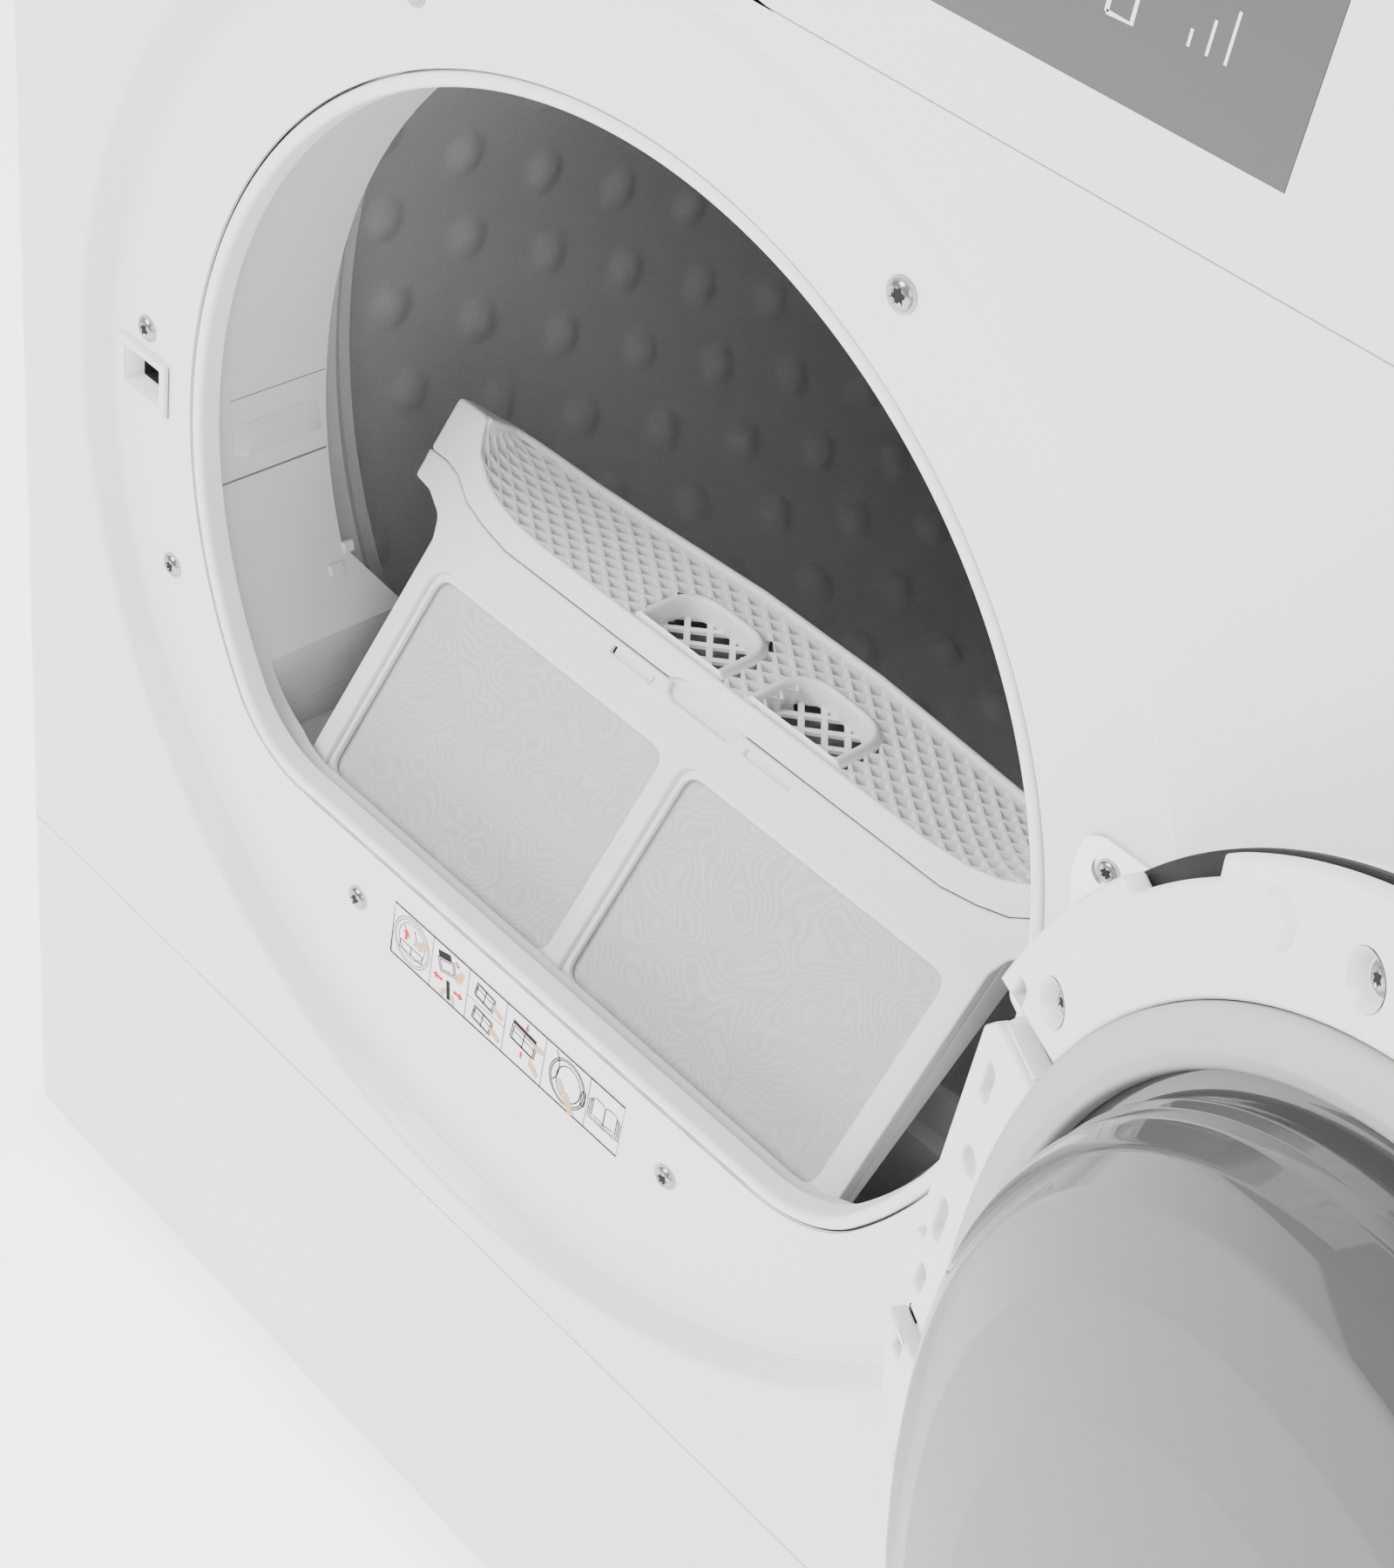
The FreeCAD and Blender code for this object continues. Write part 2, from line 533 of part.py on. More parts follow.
def make_roller(side):
    """Rubber-tyred wheel under the drum's collar."""
    centre = on_circle(COLLAR_R + 1 + AIR + ROLLER_R, 180 + side * ROLLER_ANGLE, depth(94))
    return pipe(ROLLER_R, 6 + RUN, centre, Y_AXIS, 15)


def make_rear_bulkhead():
    """Steel plate behind the drum, with the hot-air opening and the bearing's seat."""
    plate = box(-290, 290, depth(505), depth(507), 200, PANEL_TOP_Z - 2)
    plate = plate.cut(rod(232, V(0, depth(500), PORT_Z), Y_AXIS, 10))
    pan = rod(240, V(0, depth(505), PORT_Z), Y_AXIS, 60).cut(rod(237, V(0, depth(500), PORT_Z), Y_AXIS, 62))
    plate = plate.fuse(pan)
    for degrees in (0, 90, 180, 270):
        spoke = box(-12, 12, depth(505), depth(509), PORT_Z + 15, PORT_Z + 236)
        spoke.rotate(V(0, 0, PORT_Z), Y_AXIS, degrees)
        plate = plate.fuse(spoke)
    plate = plate.fuse(rod(30, V(0, depth(505), PORT_Z), Y_AXIS, 18))
    return plate.cut(rod(14, V(0, depth(495), PORT_Z), Y_AXIS, 40)).removeSplitter()


def make_rear_bearing():
    return pipe(14, 9 + RUN, V(0, depth(505), PORT_Z), Y_AXIS, 18)


# ---------------------------------------------------------------- heat pump and electrics

def make_compressor():
    """Sealed compressor on its rubber-footed base plate."""
    x, y = 165.0, depth(130)
    can = rod(62, V(x, y, 32), Z_AXIS, 140)
    can = can.makeFillet(22, can.Edges[:3:2])
    plate = box(x - 75, x + 75, y - 60, y + 60, 24, 30)
    can = can.fuse(plate).fuse(rod(40, V(x, y, 28), Z_AXIS, 10))
    for sx in (-1, 1):
        for sy in (-1, 1):
            can = can.fuse(rod(9, V(x + sx * 62, y + sy * 48, 18), Z_AXIS, 8))
    return can.removeSplitter()


def make_heat_exchanger(y0, y1, tube_side):
    """Block of fins, cut by a few deep gaps, with its return bends at one side."""
    block = box(-270, -60, depth(y0), depth(y1), 66, 176)
    for k in range(1, 12):
        x = -270 + 17.5 * k
        block = block.cut(box(x, x + 5.5, depth(y0) - 1, depth(y1) + 1, 72, 170))
    x = -270 if tube_side < 0 else -60
    for k in range(3):
        z = 86 + 32 * k
        ends = [V(x, depth(y0 + 20), z), V(x, depth(y1 - 20), z)]
        bend = rod(4, ends[0] - X_AXIS * tube_side, X_AXIS * tube_side, 8)
        bend = bend.fuse(rod(4, ends[1] - X_AXIS * tube_side, X_AXIS * tube_side, 8))
        link = rod(5, ends[0] + X_AXIS * tube_side * 6 - Y_AXIS * 6, Y_AXIS, ends[1].y - ends[0].y + 12)
        block = block.fuse(bend).fuse(link)
    return block.removeSplitter()


def make_heat_exchanger_duct():
    """Channel that leads the air from the filter through both heat exchangers to the fan."""
    outer = box(-284, -42, depth(55), depth(400), 63, 180)
    inner = box(-281, -45, depth(54), depth(397), 66, 177)
    duct = outer.cut(inner)
    riser = box(-140, -42, depth(55), depth(58), 63, 180)
    return duct.fuse(riser).removeSplitter()


def make_condensate_pump():
    """Small sump pump on the tray, with the pipe up towards the tank."""
    pump = box(-262, -212, depth(470), depth(530), 18, 60)
    pump = pump.fuse(rod(20, V(-237, depth(500), 60), Z_AXIS, 32))
    return pump.fuse(rod(5, V(-252, depth(520), 55), Z_AXIS, 690)).removeSplitter()


def make_control_board():
    """Circuit board in its carrier behind the controls."""
    board = box(50, 270, depth(40), depth(42), PANEL_TOP_Z + 6, FASCIA_TOP_Z - 6)
    for k in range(5):
        x = 70 + 38 * k
        board = board.fuse(box(x, x + 22, depth(41), depth(52), PANEL_TOP_Z + 20, PANEL_TOP_Z + 44))
    return board.removeSplitter()


def make_mains_inlet():
    """Socket for the mains lead, set into the back."""
    body = box(198.2, 231.8, REAR - 26, REAR + 1.5, 738.2, 765.8)
    body = body.cut(box(202, 228, REAR - 18, REAR + 2, 742, 762))
    for dx, dz in ((-7, -2), (7, -2), (0, 4)):
        body = body.fuse(box(214 + dx, 216 + dx, REAR - 19, REAR - 4, 750 + dz, 754 + dz))
    return body.removeSplitter()


# ---------------------------------------------------------------- controls and tank

def make_water_tank():
    """Condensate drawer: a long open-topped box with a handle recess in its front."""
    z0, z1 = PANEL_TOP_Z + 7.5, FASCIA_TOP_Z - 7.5
    front = box(TANK_X0 - 0.5, TANK_X1 + 0.5, depth(-2), depth(12), z0, z1)
    front = rounded(front, Y_AXIS, 3)
    front = front.cut(box(TANK_X0 + 50, TANK_X1 - 50, depth(-3), depth(8), z0 + 12, z0 + 34))
    body = box(TANK_X0 + 3, TANK_X1 - 3, depth(11), depth(470), z0 + 9.5, z1 - 6)
    hollow = box(TANK_X0 + 5.5, TANK_X1 - 5.5, depth(13.5), depth(467.5), z0 + 12, z1)
    return front.fuse(body).cut(hollow).removeSplitter()


def make_tank_tray():
    """Open channel that the water tank slides in."""
    z0, z1 = PANEL_TOP_Z + 13.5, FASCIA_TOP_Z - 11
    outer = box(TANK_X0 - 3, TANK_X1 + 3, depth(62), depth(480), z0, z1)
    return outer.cut(box(TANK_X0 + 1, TANK_X1 - 1, depth(61), depth(477), z0 + 2, z1 + 1))


def make_programme_knob():
    """Turned dial with a finger bar and a stub shaft through the fascia."""
    z = (PANEL_TOP_Z + FASCIA_TOP_Z) / 2
    dial = rod(KNOB_R, V(KNOB_X, depth(-16), z), Y_AXIS, 15.5)
    dial = dial.makeFillet(2.5, [e for e in dial.Edges if abs(e.CenterOfMass.y - depth(-16)) < 0.01])
    stub = rod(6, V(KNOB_X, depth(-1), z), Y_AXIS, 14)
    mark = box(KNOB_X - 1, KNOB_X + 1, depth(-17), depth(-13), z + 12, z + 25)
    return dial.fuse(stub).cut(mark).removeSplitter()


def make_button(x):
    z = (PANEL_TOP_Z + FASCIA_TOP_Z) / 2
    cap = rod(BUTTON_R, V(x, depth(-3), z), Y_AXIS, 12)
    return cap.makeFillet(1.2, [e for e in cap.Edges if abs(e.CenterOfMass.y - depth(-3)) < 0.01])


# ---------------------------------------------------------------- door

def opened(shape):
    """Swing a piece of the closed door to where it stands open."""
    shape.rotate(V(HINGE_X, depth(HINGE_Y), PORT_Z), Z_AXIS, DOOR_OPEN_DEG)
    return shape


def hinge_notch(half, x0=203.0):
    """Space round the hinge's ears and arm."""
    return box(x0, 260, depth(-27), depth(20), PORT_Z - half, PORT_Z + half)


def make_door_frame():
    """Outer ring of the door, rounded towards the front, carrying the rest."""
    outer = [(160, -36.5), (196, -36.5), (211, -35), (225, -29.5), (235, -19), (239.5, -7), (239.5, -1)]
    inner = [(236.5, -1), (236.5, -6.5), (232.4, -17), (223, -26.6), (210, -32), (196, -33.5), (160, -33.5)]
    return turned(outer + inner).cut(hinge_notch(HINGE_HALF + 8, 209))


def make_door_window():
    """Dark outer pane in the middle of the door."""
    return turned([(0, -36.5), (159.8, -36.5), (159.8, -33.4), (170, -33.4), (170, -30.4), (0, -30.4)])


def make_door_trim():
    """Dark band round the door's edge, between the frame and the inner ring."""
    band = turned([(231, -0.8), (DOOR_R, -0.8), (DOOR_R, 4.5), (231, 4.5)])
    return band.cut(hinge_notch(HINGE_HALF + 8, 209))


def make_door_inner_ring():
    """White inner moulding, with its grip gap and the hinge arm's step."""
    face = [(212, 4.7), (238, 4.7), (238, 8.3), (236.8, 9.5)]
    face += [(209, 9.5), (209, 5.8), (205, 5.8), (205, 1.8)]
    ring = turned(face + [(209, 1.8), (209, -28), (212, -28)])
    ring = ring.cut(hinge_notch(HINGE_HALF + 8, 213))
    arm = box(196, HINGE_X, depth(HINGE_Y - 8), depth(8.5), PORT_Z - HINGE_HALF, PORT_Z + HINGE_HALF)
    arm = arm.cut(rod(209.5, V(0, depth(-60), PORT_Z), Y_AXIS, 100))
    arm = arm.fuse(rod(8, V(HINGE_X, depth(HINGE_Y), PORT_Z - HINGE_HALF), Z_AXIS, 2 * HINGE_HALF))
    ring = ring.fuse(arm)
    ring = ring.cut(rod(PIN_R + RUN, V(HINGE_X, depth(HINGE_Y), PORT_Z - 100), Z_AXIS, 200))
    ring = ring.cut(box(-229.6, -222.4, depth(3), depth(12), PORT_Z - 8.6, PORT_Z + 0.6))
    for degrees in (30, 67, 118, 150, 210, 242, 293, 330):
        seat = on_circle(223, degrees, depth(4))
        ring = ring.cut(rod(2.2, seat, Y_AXIS, 8)).cut(rod(5, seat + Y_AXIS * 3.5, Y_AXIS, 5))
    return ring.removeSplitter()


def make_door_screws():
    screws = []
    for degrees in (30, 67, 118, 150, 210, 242, 293, 330):
        seat = on_circle(223, degrees, depth(7.6))
        head = rod(4, seat, Y_AXIS, 1.4).fuse(rod(2, seat - Y_AXIS * 8, Y_AXIS, 9))
        screws.append(head.removeSplitter())
    return Part.makeCompound(screws)


def make_door_gasket():
    """Soft ring that presses on the surround, its foot gripped behind the inner ring."""
    foot = [(GASKET_R0, 6), (GASKET_R1, 6), (GASKET_R1, 10.8), (206, 11.7)]
    return turned(foot + [(198, 11.7), (GASKET_R0, 10.5)])


def bowl_shape(shrink):
    """Dome of the door's bowl, sloped off below so that it clears the lint filter."""
    r = 188.0 - shrink
    bottom = 42.0 - shrink
    outline = [(0, -28), (r, -28), (r, 12), (r - 3, 24), (r - 11, 33 - shrink), (r - 26, 38.5 - shrink)]
    dome = turned(outline + [(r - 48, bottom - 1), (r - 66, bottom), (0, bottom)])
    lean = math.tan(math.radians(FILTER_LEAN))
    knee_y = 7.5 - shrink * 0.6
    knee_z = PORT_Z - 124 + shrink
    far_y, low_z = 140.0, 200.0
    far_z = knee_z + (far_y - knee_y) / lean
    slope = [(knee_y, knee_z), (knee_y, low_z), (far_y, low_z), (far_y, far_z)]
    return dome.cut(side_prism([(depth(y), z) for y, z in slope], -240, 240))


def make_door_bowl():
    """Glass bowl with the flange that the gasket and the inner ring hold."""
    cavity = bowl_shape(4.0)
    body = bowl_shape(0.0).cut(cavity)
    keep = rod(188.5, V(0, depth(2), PORT_Z), Y_AXIS, 120)
    body = body.common(keep)
    flange = turned([(184, 2), (203.5, 2), (203.5, 5.8), (184, 5.8)])
    return body.fuse(flange).removeSplitter()


def make_latch_hook():
    """Hook on the door's free edge that enters the latch."""
    stem = box(-229, -223, depth(4), depth(30), PORT_Z - 8, PORT_Z)
    barb = box(-233, -223, depth(25), depth(30), PORT_Z - 8, PORT_Z)
    foot = box(-230.5, -214, depth(3.2), depth(4.6), PORT_Z - 8, PORT_Z)
    return stem.fuse(barb).fuse(foot).removeSplitter()


# ---------------------------------------------------------------- lint filter

def raised(shape):
    """Place a piece of the lint filter, drawn upright at the origin, where it stands lifted out."""
    shape.rotate(V(0, 0, 0), X_AXIS, -FILTER_LEAN)
    shape.translate(V(0, depth(FILTER_Y), FILTER_Z))
    return shape


def scoop_rim(drop=0.0):
    """Right half of the head's rim, from its middle out to the ear's top."""
    return [(98, 113.8 - drop), (116, 115.3 - drop), (132, 120.2 - drop), (143, 127.5 - drop), (148.5, 141.5)]


def mirrored(points):
    return points + [(-x, s) for x, s in reversed(points)]


def head_outline():
    """Seam line, ears and top of the filter's head."""
    right = [(111, 103.6), (126, 106.2), (138, 109.6), (148, 116), (155.5, 117.9), (EAR_HALF, 118)]
    right += [(EAR_HALF, EAR_TOP)]
    return mirrored(right)


def make_filter_front():
    """Front half of the filter: frame, shoulders, two windows and a finger recess."""
    right = [(FILTER_HALF, FILTER_BOTTOM), (FILTER_HALF, 96.7), (156.5, 105.5), (EAR_HALF, 106.2)]
    right += [(EAR_HALF, 117.5), (155.5, 117.4), (148, 115.5), (138, 109.1), (126, 105.7), (111, 103.2)]
    plate = front_prism(mirrored(right), 0, 8)
    pocket = box(-140, 140, 2.5, 9, -19, 99)
    plate = plate.cut(pocket)
    for side in (1, -1):
        x0, x1 = sorted((side * BAR_HALF, side * WINDOW_HALF))
        window = rounded(box(x0, x1, -1, 5, WINDOW_BOTTOM, WINDOW_TOP), Y_AXIS, 8)
        plate = plate.cut(window)
    thumb = rounded(box(-19, 16, -1, 1.4, 96, 104), Y_AXIS, 3.9)
    return raised(plate.cut(thumb).removeSplitter())


def swept_region(rim, foot_s, start):
    """Everything below (or above) a rim line, carried back and up along the scoop."""
    depth_run, rise = SCOOP_RUN
    half = rim[0][0]
    outline = [V(x, start, s) for x, s in rim + [(-half, foot_s), (half, foot_s)]]
    return prism(outline, V(0, depth_run * 1.3, rise * 1.3))


def make_filter_rear():
    """Rear half: a wedge-shaped frame with two windows and the head with its scooped inlet."""
    wedge = [(8.2, FILTER_BOTTOM), (11.4, FILTER_BOTTOM), (44.6, 106), (48, 112), (8.2, 103)]
    hollow = [(7, FILTER_BOTTOM + 3), (9.6, FILTER_BOTTOM + 3), (42.4, 106), (42.4, 120), (7, 120)]
    body = side_prism(wedge, -FILTER_HALF, FILTER_HALF).cut(side_prism(hollow, -140, 140))
    rim = mirrored(scoop_rim()[::-1])
    scoop = swept_region(rim, 220, -0.01)
    under = swept_region(mirrored(scoop_rim(3)[-2::-1]), 60, 2.5)
    head = front_prism(head_outline(), 0, 48).cut(scoop)
    head = head.cut(under.common(box(-140, 140, 2.5, 45.5, 60, 138)))
    for side in (1, -1):
        hole = rounded(box(side * 31 - 17, side * 31 + 17, 3, 26, 90, 160), Z_AXIS, 7)
        head = head.cut(hole)
        x0, x1 = sorted((side * 4, side * 134))
        body = body.cut(box(x0, x1, 9.3, 60, -12, 92))
    return raised(body.fuse(head).removeSplitter())


def make_filter_meshes():
    """Fine screens over the front and the rear windows, one solid each."""
    front = box(-138, 138, 2.5, 3.1, -17, 87)
    rear = side_prism([(9.0, -14), (9.6, -14), (38.5, 95), (37.9, 95)], -138, 138)
    return Part.makeCompound([raised(front), raised(rear)])


def save(node, shape):
    """Write one node, dropping tool edges and checking that every solid is sound."""
    solids = shape.Solids
    total = sum(s.Volume for s in solids)
    valid = all(s.isValid() for s in solids)
    print(f"{node:24s} solids {len(solids):2d} volume {total / 1000:10.1f} cm3 valid {valid}")
    Part.makeCompound(solids).exportStep(f"parts/{node}.step")


def main():
    os.makedirs("parts", exist_ok=True)
    nodes = {
        "front_panel": make_front_panel(),
        "plinth_panel": make_plinth_panel(),
        "control_fascia": make_control_fascia(),
        "display_window": make_display_window(),
        "top_panel": make_top_panel(),
        "side_panel_left": side_panel(-1),
        "side_panel_right": side_panel(1),
        "rear_panel": make_rear_panel(),
        "base_tray": make_base_tray(),
        "porthole_trim": make_porthole_trim(),
        "front_bulkhead": make_front_bulkhead(),
        "filter_duct": make_filter_duct(),
        "front_felt_seal": make_front_felt_seal(),
        "surround_screws": make_surround_screws(),
        "instruction_label": make_instruction_label(),
        "latch_bezel": make_latch_bezel(),
        "door_lock": make_door_lock(),
        "hinge_bracket": make_hinge_bracket(),
        "hinge_pin": make_hinge_pin(),
        "drum_shell": make_drum_shell(),
        "drum_rear_wall": make_drum_rear_wall(),
        "drum_lifters": make_drum_lifters(),
        "drum_belt": make_drum_belt(),
        "motor": make_motor(),
        "motor_shaft": make_motor_shaft(),
        "fan_impeller": make_fan_impeller(),
        "fan_housing": make_fan_housing(),
        "belt_idler": make_belt_idler(),
        "tension_arm": make_tension_arm(),
        "support_roller_left": make_roller(1),
        "support_roller_right": make_roller(-1),
        "rear_bulkhead": make_rear_bulkhead(),
        "rear_bearing": make_rear_bearing(),
        "compressor": make_compressor(),
        "evaporator": make_heat_exchanger(80, 190, -1),
        "condenser": make_heat_exchanger(220, 370, -1),
        "heat_exchanger_duct": make_heat_exchanger_duct(),
        "condensate_pump": make_condensate_pump(),
        "control_board": make_control_board(),
        "mains_inlet": make_mains_inlet(),
        "water_tank": make_water_tank(),
        "tank_tray": make_tank_tray(),
        "programme_knob": make_programme_knob(),
        "door_frame": opened(make_door_frame()),
        "door_window": opened(make_door_window()),
        "door_trim": opened(make_door_trim()),
        "door_inner_ring": opened(make_door_inner_ring()),
        "door_screws": opened(make_door_screws()),
        "door_gasket": opened(make_door_gasket()),
        "door_bowl": opened(make_door_bowl()),
        "latch_hook": opened(make_latch_hook()),
        "filter_front": make_filter_front(),
        "filter_rear": make_filter_rear(),
        "filter_meshes": make_filter_meshes(),
    }
    for name, x in BUTTON_XS.items():
        nodes[name] = make_button(x)
    for corner, (x, y) in zip(("front_left", "front_right", "rear_left", "rear_right"), foot_places()):
        nodes[f"foot_{corner}"] = make_foot(x, y)
    print(len(nodes), "nodes")
    for node, shape in nodes.items():
        save(node, shape)


main()
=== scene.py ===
"""Looks for the front-loading clothes dryer: door open, lint filter lifted, seen from above on its right."""
import json
import math

import bmesh
import bpy
import numpy as np
from mathutils import Matrix, Vector


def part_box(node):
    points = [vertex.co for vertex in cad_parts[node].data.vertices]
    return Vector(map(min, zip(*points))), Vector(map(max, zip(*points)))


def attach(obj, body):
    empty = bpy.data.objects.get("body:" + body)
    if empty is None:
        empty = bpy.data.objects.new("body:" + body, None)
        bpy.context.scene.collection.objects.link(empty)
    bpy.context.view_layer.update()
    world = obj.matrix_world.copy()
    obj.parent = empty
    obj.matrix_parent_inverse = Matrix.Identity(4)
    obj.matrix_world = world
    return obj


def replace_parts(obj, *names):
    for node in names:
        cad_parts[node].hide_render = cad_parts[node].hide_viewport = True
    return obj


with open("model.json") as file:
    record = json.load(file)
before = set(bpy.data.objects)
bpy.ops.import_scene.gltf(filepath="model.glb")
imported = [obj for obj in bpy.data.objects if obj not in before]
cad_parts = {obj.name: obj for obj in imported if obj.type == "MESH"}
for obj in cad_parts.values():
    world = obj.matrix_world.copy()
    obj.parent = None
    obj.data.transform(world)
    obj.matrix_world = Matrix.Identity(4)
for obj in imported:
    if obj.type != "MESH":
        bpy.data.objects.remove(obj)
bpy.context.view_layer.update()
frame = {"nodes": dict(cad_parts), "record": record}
NODES = frame["nodes"]

MM = 0.001
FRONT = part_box("plinth_panel")[0].y
DRUM_LOW, DRUM_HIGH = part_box("drum_shell")
PORT_Z = (DRUM_LOW.z + DRUM_HIGH.z) / 2
HALF_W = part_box("top_panel")[1].x
HINGE = Vector((0.224, FRONT - 0.014, PORT_Z))
DOOR_OPEN = math.radians(151)
LEAN = math.radians(33.2)
FULL_TURN = 2 * math.pi


# ------------------------------------------------------------------ materials

def set_inputs(node, **values):
    """Set a node's inputs; an underscore stands for the space in an input's name."""
    for name, value in values.items():
        node.inputs[name.replace("_", " ")].default_value = value


def new_node(tree, kind, **values):
    node = tree.nodes.new("ShaderNode" + kind)
    set_inputs(node, **values)
    return node


def node_material(name, colour, rough, metallic=0.0):
    material = bpy.data.materials.new(name)
    material.use_nodes = True
    shader = material.node_tree.nodes["Principled BSDF"]
    set_inputs(shader, Base_Color=(*colour, 1), Roughness=rough, Metallic=metallic)
    return material, material.node_tree, shader


def noise(tree, scale, detail=3.0, rough=0.5, stretch=(1, 1, 1)):
    """Noise over the object's own coordinates, which follow it when it moves."""
    place = new_node(tree, "TexCoord")
    mapping = new_node(tree, "Mapping", Scale=stretch)
    texture = new_node(tree, "TexNoise", Scale=scale, Detail=detail, Roughness=rough)
    tree.links.new(place.outputs["Object"], mapping.inputs["Vector"])
    tree.links.new(mapping.outputs["Vector"], texture.inputs["Vector"])
    return texture.outputs["Fac"]


def spread(tree, source, low, high, source_low=0.3, source_high=0.7):
    """A value stretched to low..high, by default from the range where noise mostly lies."""
    remap = new_node(tree, "MapRange", From_Min=source_low, From_Max=source_high, To_Min=low, To_Max=high)
    tree.links.new(source, remap.inputs["Value"])
    return remap.outputs["Result"]


def blend_colours(tree, fac, first, second):
    """A mix of two colours, of which the first may be another node's output."""
    mix = new_node(tree, "Mix")
    mix.data_type = "RGBA"
    if isinstance(first, tuple):
        set_inputs(mix, A=(*first, 1))
    else:
        tree.links.new(first, mix.inputs["A"])
    set_inputs(mix, B=(*second, 1))
    tree.links.new(fac, mix.inputs["Factor"])
    return mix.outputs["Result"]


def bump(tree, shader, height, distance):
    node = new_node(tree, "Bump", Distance=distance, Strength=1.0)
    tree.links.new(height, node.inputs["Height"])
    tree.links.new(node.outputs["Normal"], shader.inputs["Normal"])


def plastic(name, colour, rough=0.4, grain=900.0, depth=0.00003, vary=0.03, coat=0.0, shine=0.5):
    """Moulded plastic or paint: faint cloudy colour, fine grain and uneven sheen."""
    material, tree, shader = node_material(name, colour, rough)
    cloud = spread(tree, noise(tree, 6, 2), 0, 1)
    dark = tuple(c * (1 - vary) for c in colour)
    tree.links.new(blend_colours(tree, cloud, colour, dark), shader.inputs["Base Color"])
    sheen = spread(tree, noise(tree, 35, 4), rough * 0.9, min(1, rough * 1.12))
    tree.links.new(sheen, shader.inputs["Roughness"])
    bump(tree, shader, noise(tree, grain, 3, 0.6), depth)
    set_inputs(shader, Specular_IOR_Level=shine, Coat_Weight=coat, Coat_Roughness=0.12)
    return material


def metal(name, colour, rough=0.3, stretch=(1, 1, 12)):
    """Metal with fine drawn lines and cloudy wear."""
    material, tree, shader = node_material(name, colour, rough, 1.0)
    lines = noise(tree, 400, 2, 0.6, stretch)
    dark = tuple(c * 0.85 for c in colour)
    tree.links.new(spread(tree, noise(tree, 30, 3), rough * 0.75, rough * 1.4), shader.inputs["Roughness"])
    tree.links.new(blend_colours(tree, lines, colour, dark), shader.inputs["Base Color"])
    bump(tree, shader, lines, 0.00004)
    return material


def glass(name, tint, rough=0.02):
    material, tree, shader = node_material(name, tint, rough)
    set_inputs(shader, Transmission_Weight=0.55, IOR=1.48)
    bump(tree, shader, noise(tree, 9, 1), 0.0006)
    return material


def screen_fabric(name):
    """Fine woven screen: a tight weave, with the drifting contour lines that two layers make."""
    material, tree, shader = node_material(name, (0.6, 0.6, 0.6), 0.62)
    bands, wave = new_node(tree, "Math"), new_node(tree, "Math")
    bands.operation, wave.operation = "MULTIPLY", "SINE"
    bands.inputs[1].default_value = 320.0
    tree.links.new(noise(tree, 17, 2.2, 0.55), bands.inputs[0])
    tree.links.new(bands.outputs[0], wave.inputs[0])
    contour = spread(tree, wave.outputs[0], 0, 1, -1, 1)
    lines = blend_colours(tree, contour, (0.445, 0.445, 0.445), (0.53, 0.53, 0.53))
    cloud = spread(tree, noise(tree, 8, 2), 0.0, 0.55)
    tree.links.new(blend_colours(tree, cloud, lines, (0.48, 0.48, 0.48)), shader.inputs["Base Color"])
    bump(tree, shader, noise(tree, 3500, 1, 0.5), 0.00008)
    set_inputs(shader, Sheen_Weight=0.15)
    return material


def drum_steel(name):
    """Dark grey speckled coating on the embossed sheet."""
    material, tree, shader = node_material(name, (0.12, 0.12, 0.12), 0.5)
    speckle = spread(tree, noise(tree, 1500, 2, 0.7), 0, 1)
    colour = blend_colours(tree, speckle, (0.42, 0.42, 0.423), (0.54, 0.54, 0.543))
    tree.links.new(colour, shader.inputs["Base Color"])
    tree.links.new(spread(tree, noise(tree, 300, 3), 0.42, 0.6), shader.inputs["Roughness"])
    bump(tree, shader, noise(tree, 1800, 2), 0.00006)
    set_inputs(shader, Specular_IOR_Level=0.4)
    return material


# Colour, roughness, grain, bump depth, cloudiness, coat and shine of each plastic or paint.
PLASTICS = {
    "painted_white": ((0.80, 0.80, 0.80), 0.32, 500, 0.00002, 0.01, 0.25),
    "white_plastic": ((0.81, 0.81, 0.81), 0.36, 1200, 0.00002, 0.015),
    "tunnel_plastic": ((0.60, 0.60, 0.60), 0.46, 900, 0.00004, 0.04),
    "filter_plastic": ((0.78, 0.78, 0.78), 0.42, 1100, 0.00003, 0.02),
    "lifter_plastic": ((0.2, 0.2, 0.205), 0.5, 800, 0.00005, 0.1),
    "dark_trim": ((0.014, 0.014, 0.015), 0.6, 800, 0.00004, 0.1, 0.0, 0.15),
    "dark_glass": ((0.012, 0.012, 0.014), 0.08, 60, 0.00001, 0.2, 0.8),
    "display_glass": ((0.012, 0.012, 0.014), 0.1, 60, 0.00001, 0.2, 0.8),
    "gasket_rubber": ((0.44, 0.427, 0.40), 0.5, 700, 0.00004, 0.04),
    "label_film": ((0.86, 0.86, 0.86), 0.3, 300, 0.00001, 0.01),
    "tray_plastic": ((0.06, 0.063, 0.066), 0.5, 600, 0.00006, 0.12),
    "felt": ((0.42, 0.42, 0.4), 0.95, 1600, 0.0004, 0.2),
    "belt_rubber": ((0.02, 0.02, 0.02), 0.7, 900, 0.0001, 0.3),
    "fan_plastic": ((0.1, 0.1, 0.11), 0.5, 700, 0.00005, 0.15),
    "compressor_black": ((0.015, 0.015, 0.016), 0.28, 260, 0.00008, 0.3, 0.5),
    "board_green": ((0.03, 0.16, 0.06), 0.4, 500, 0.00004, 0.25),
    "inlet_black": ((0.02, 0.02, 0.02), 0.5, 700, 0.00005, 0.2),
}
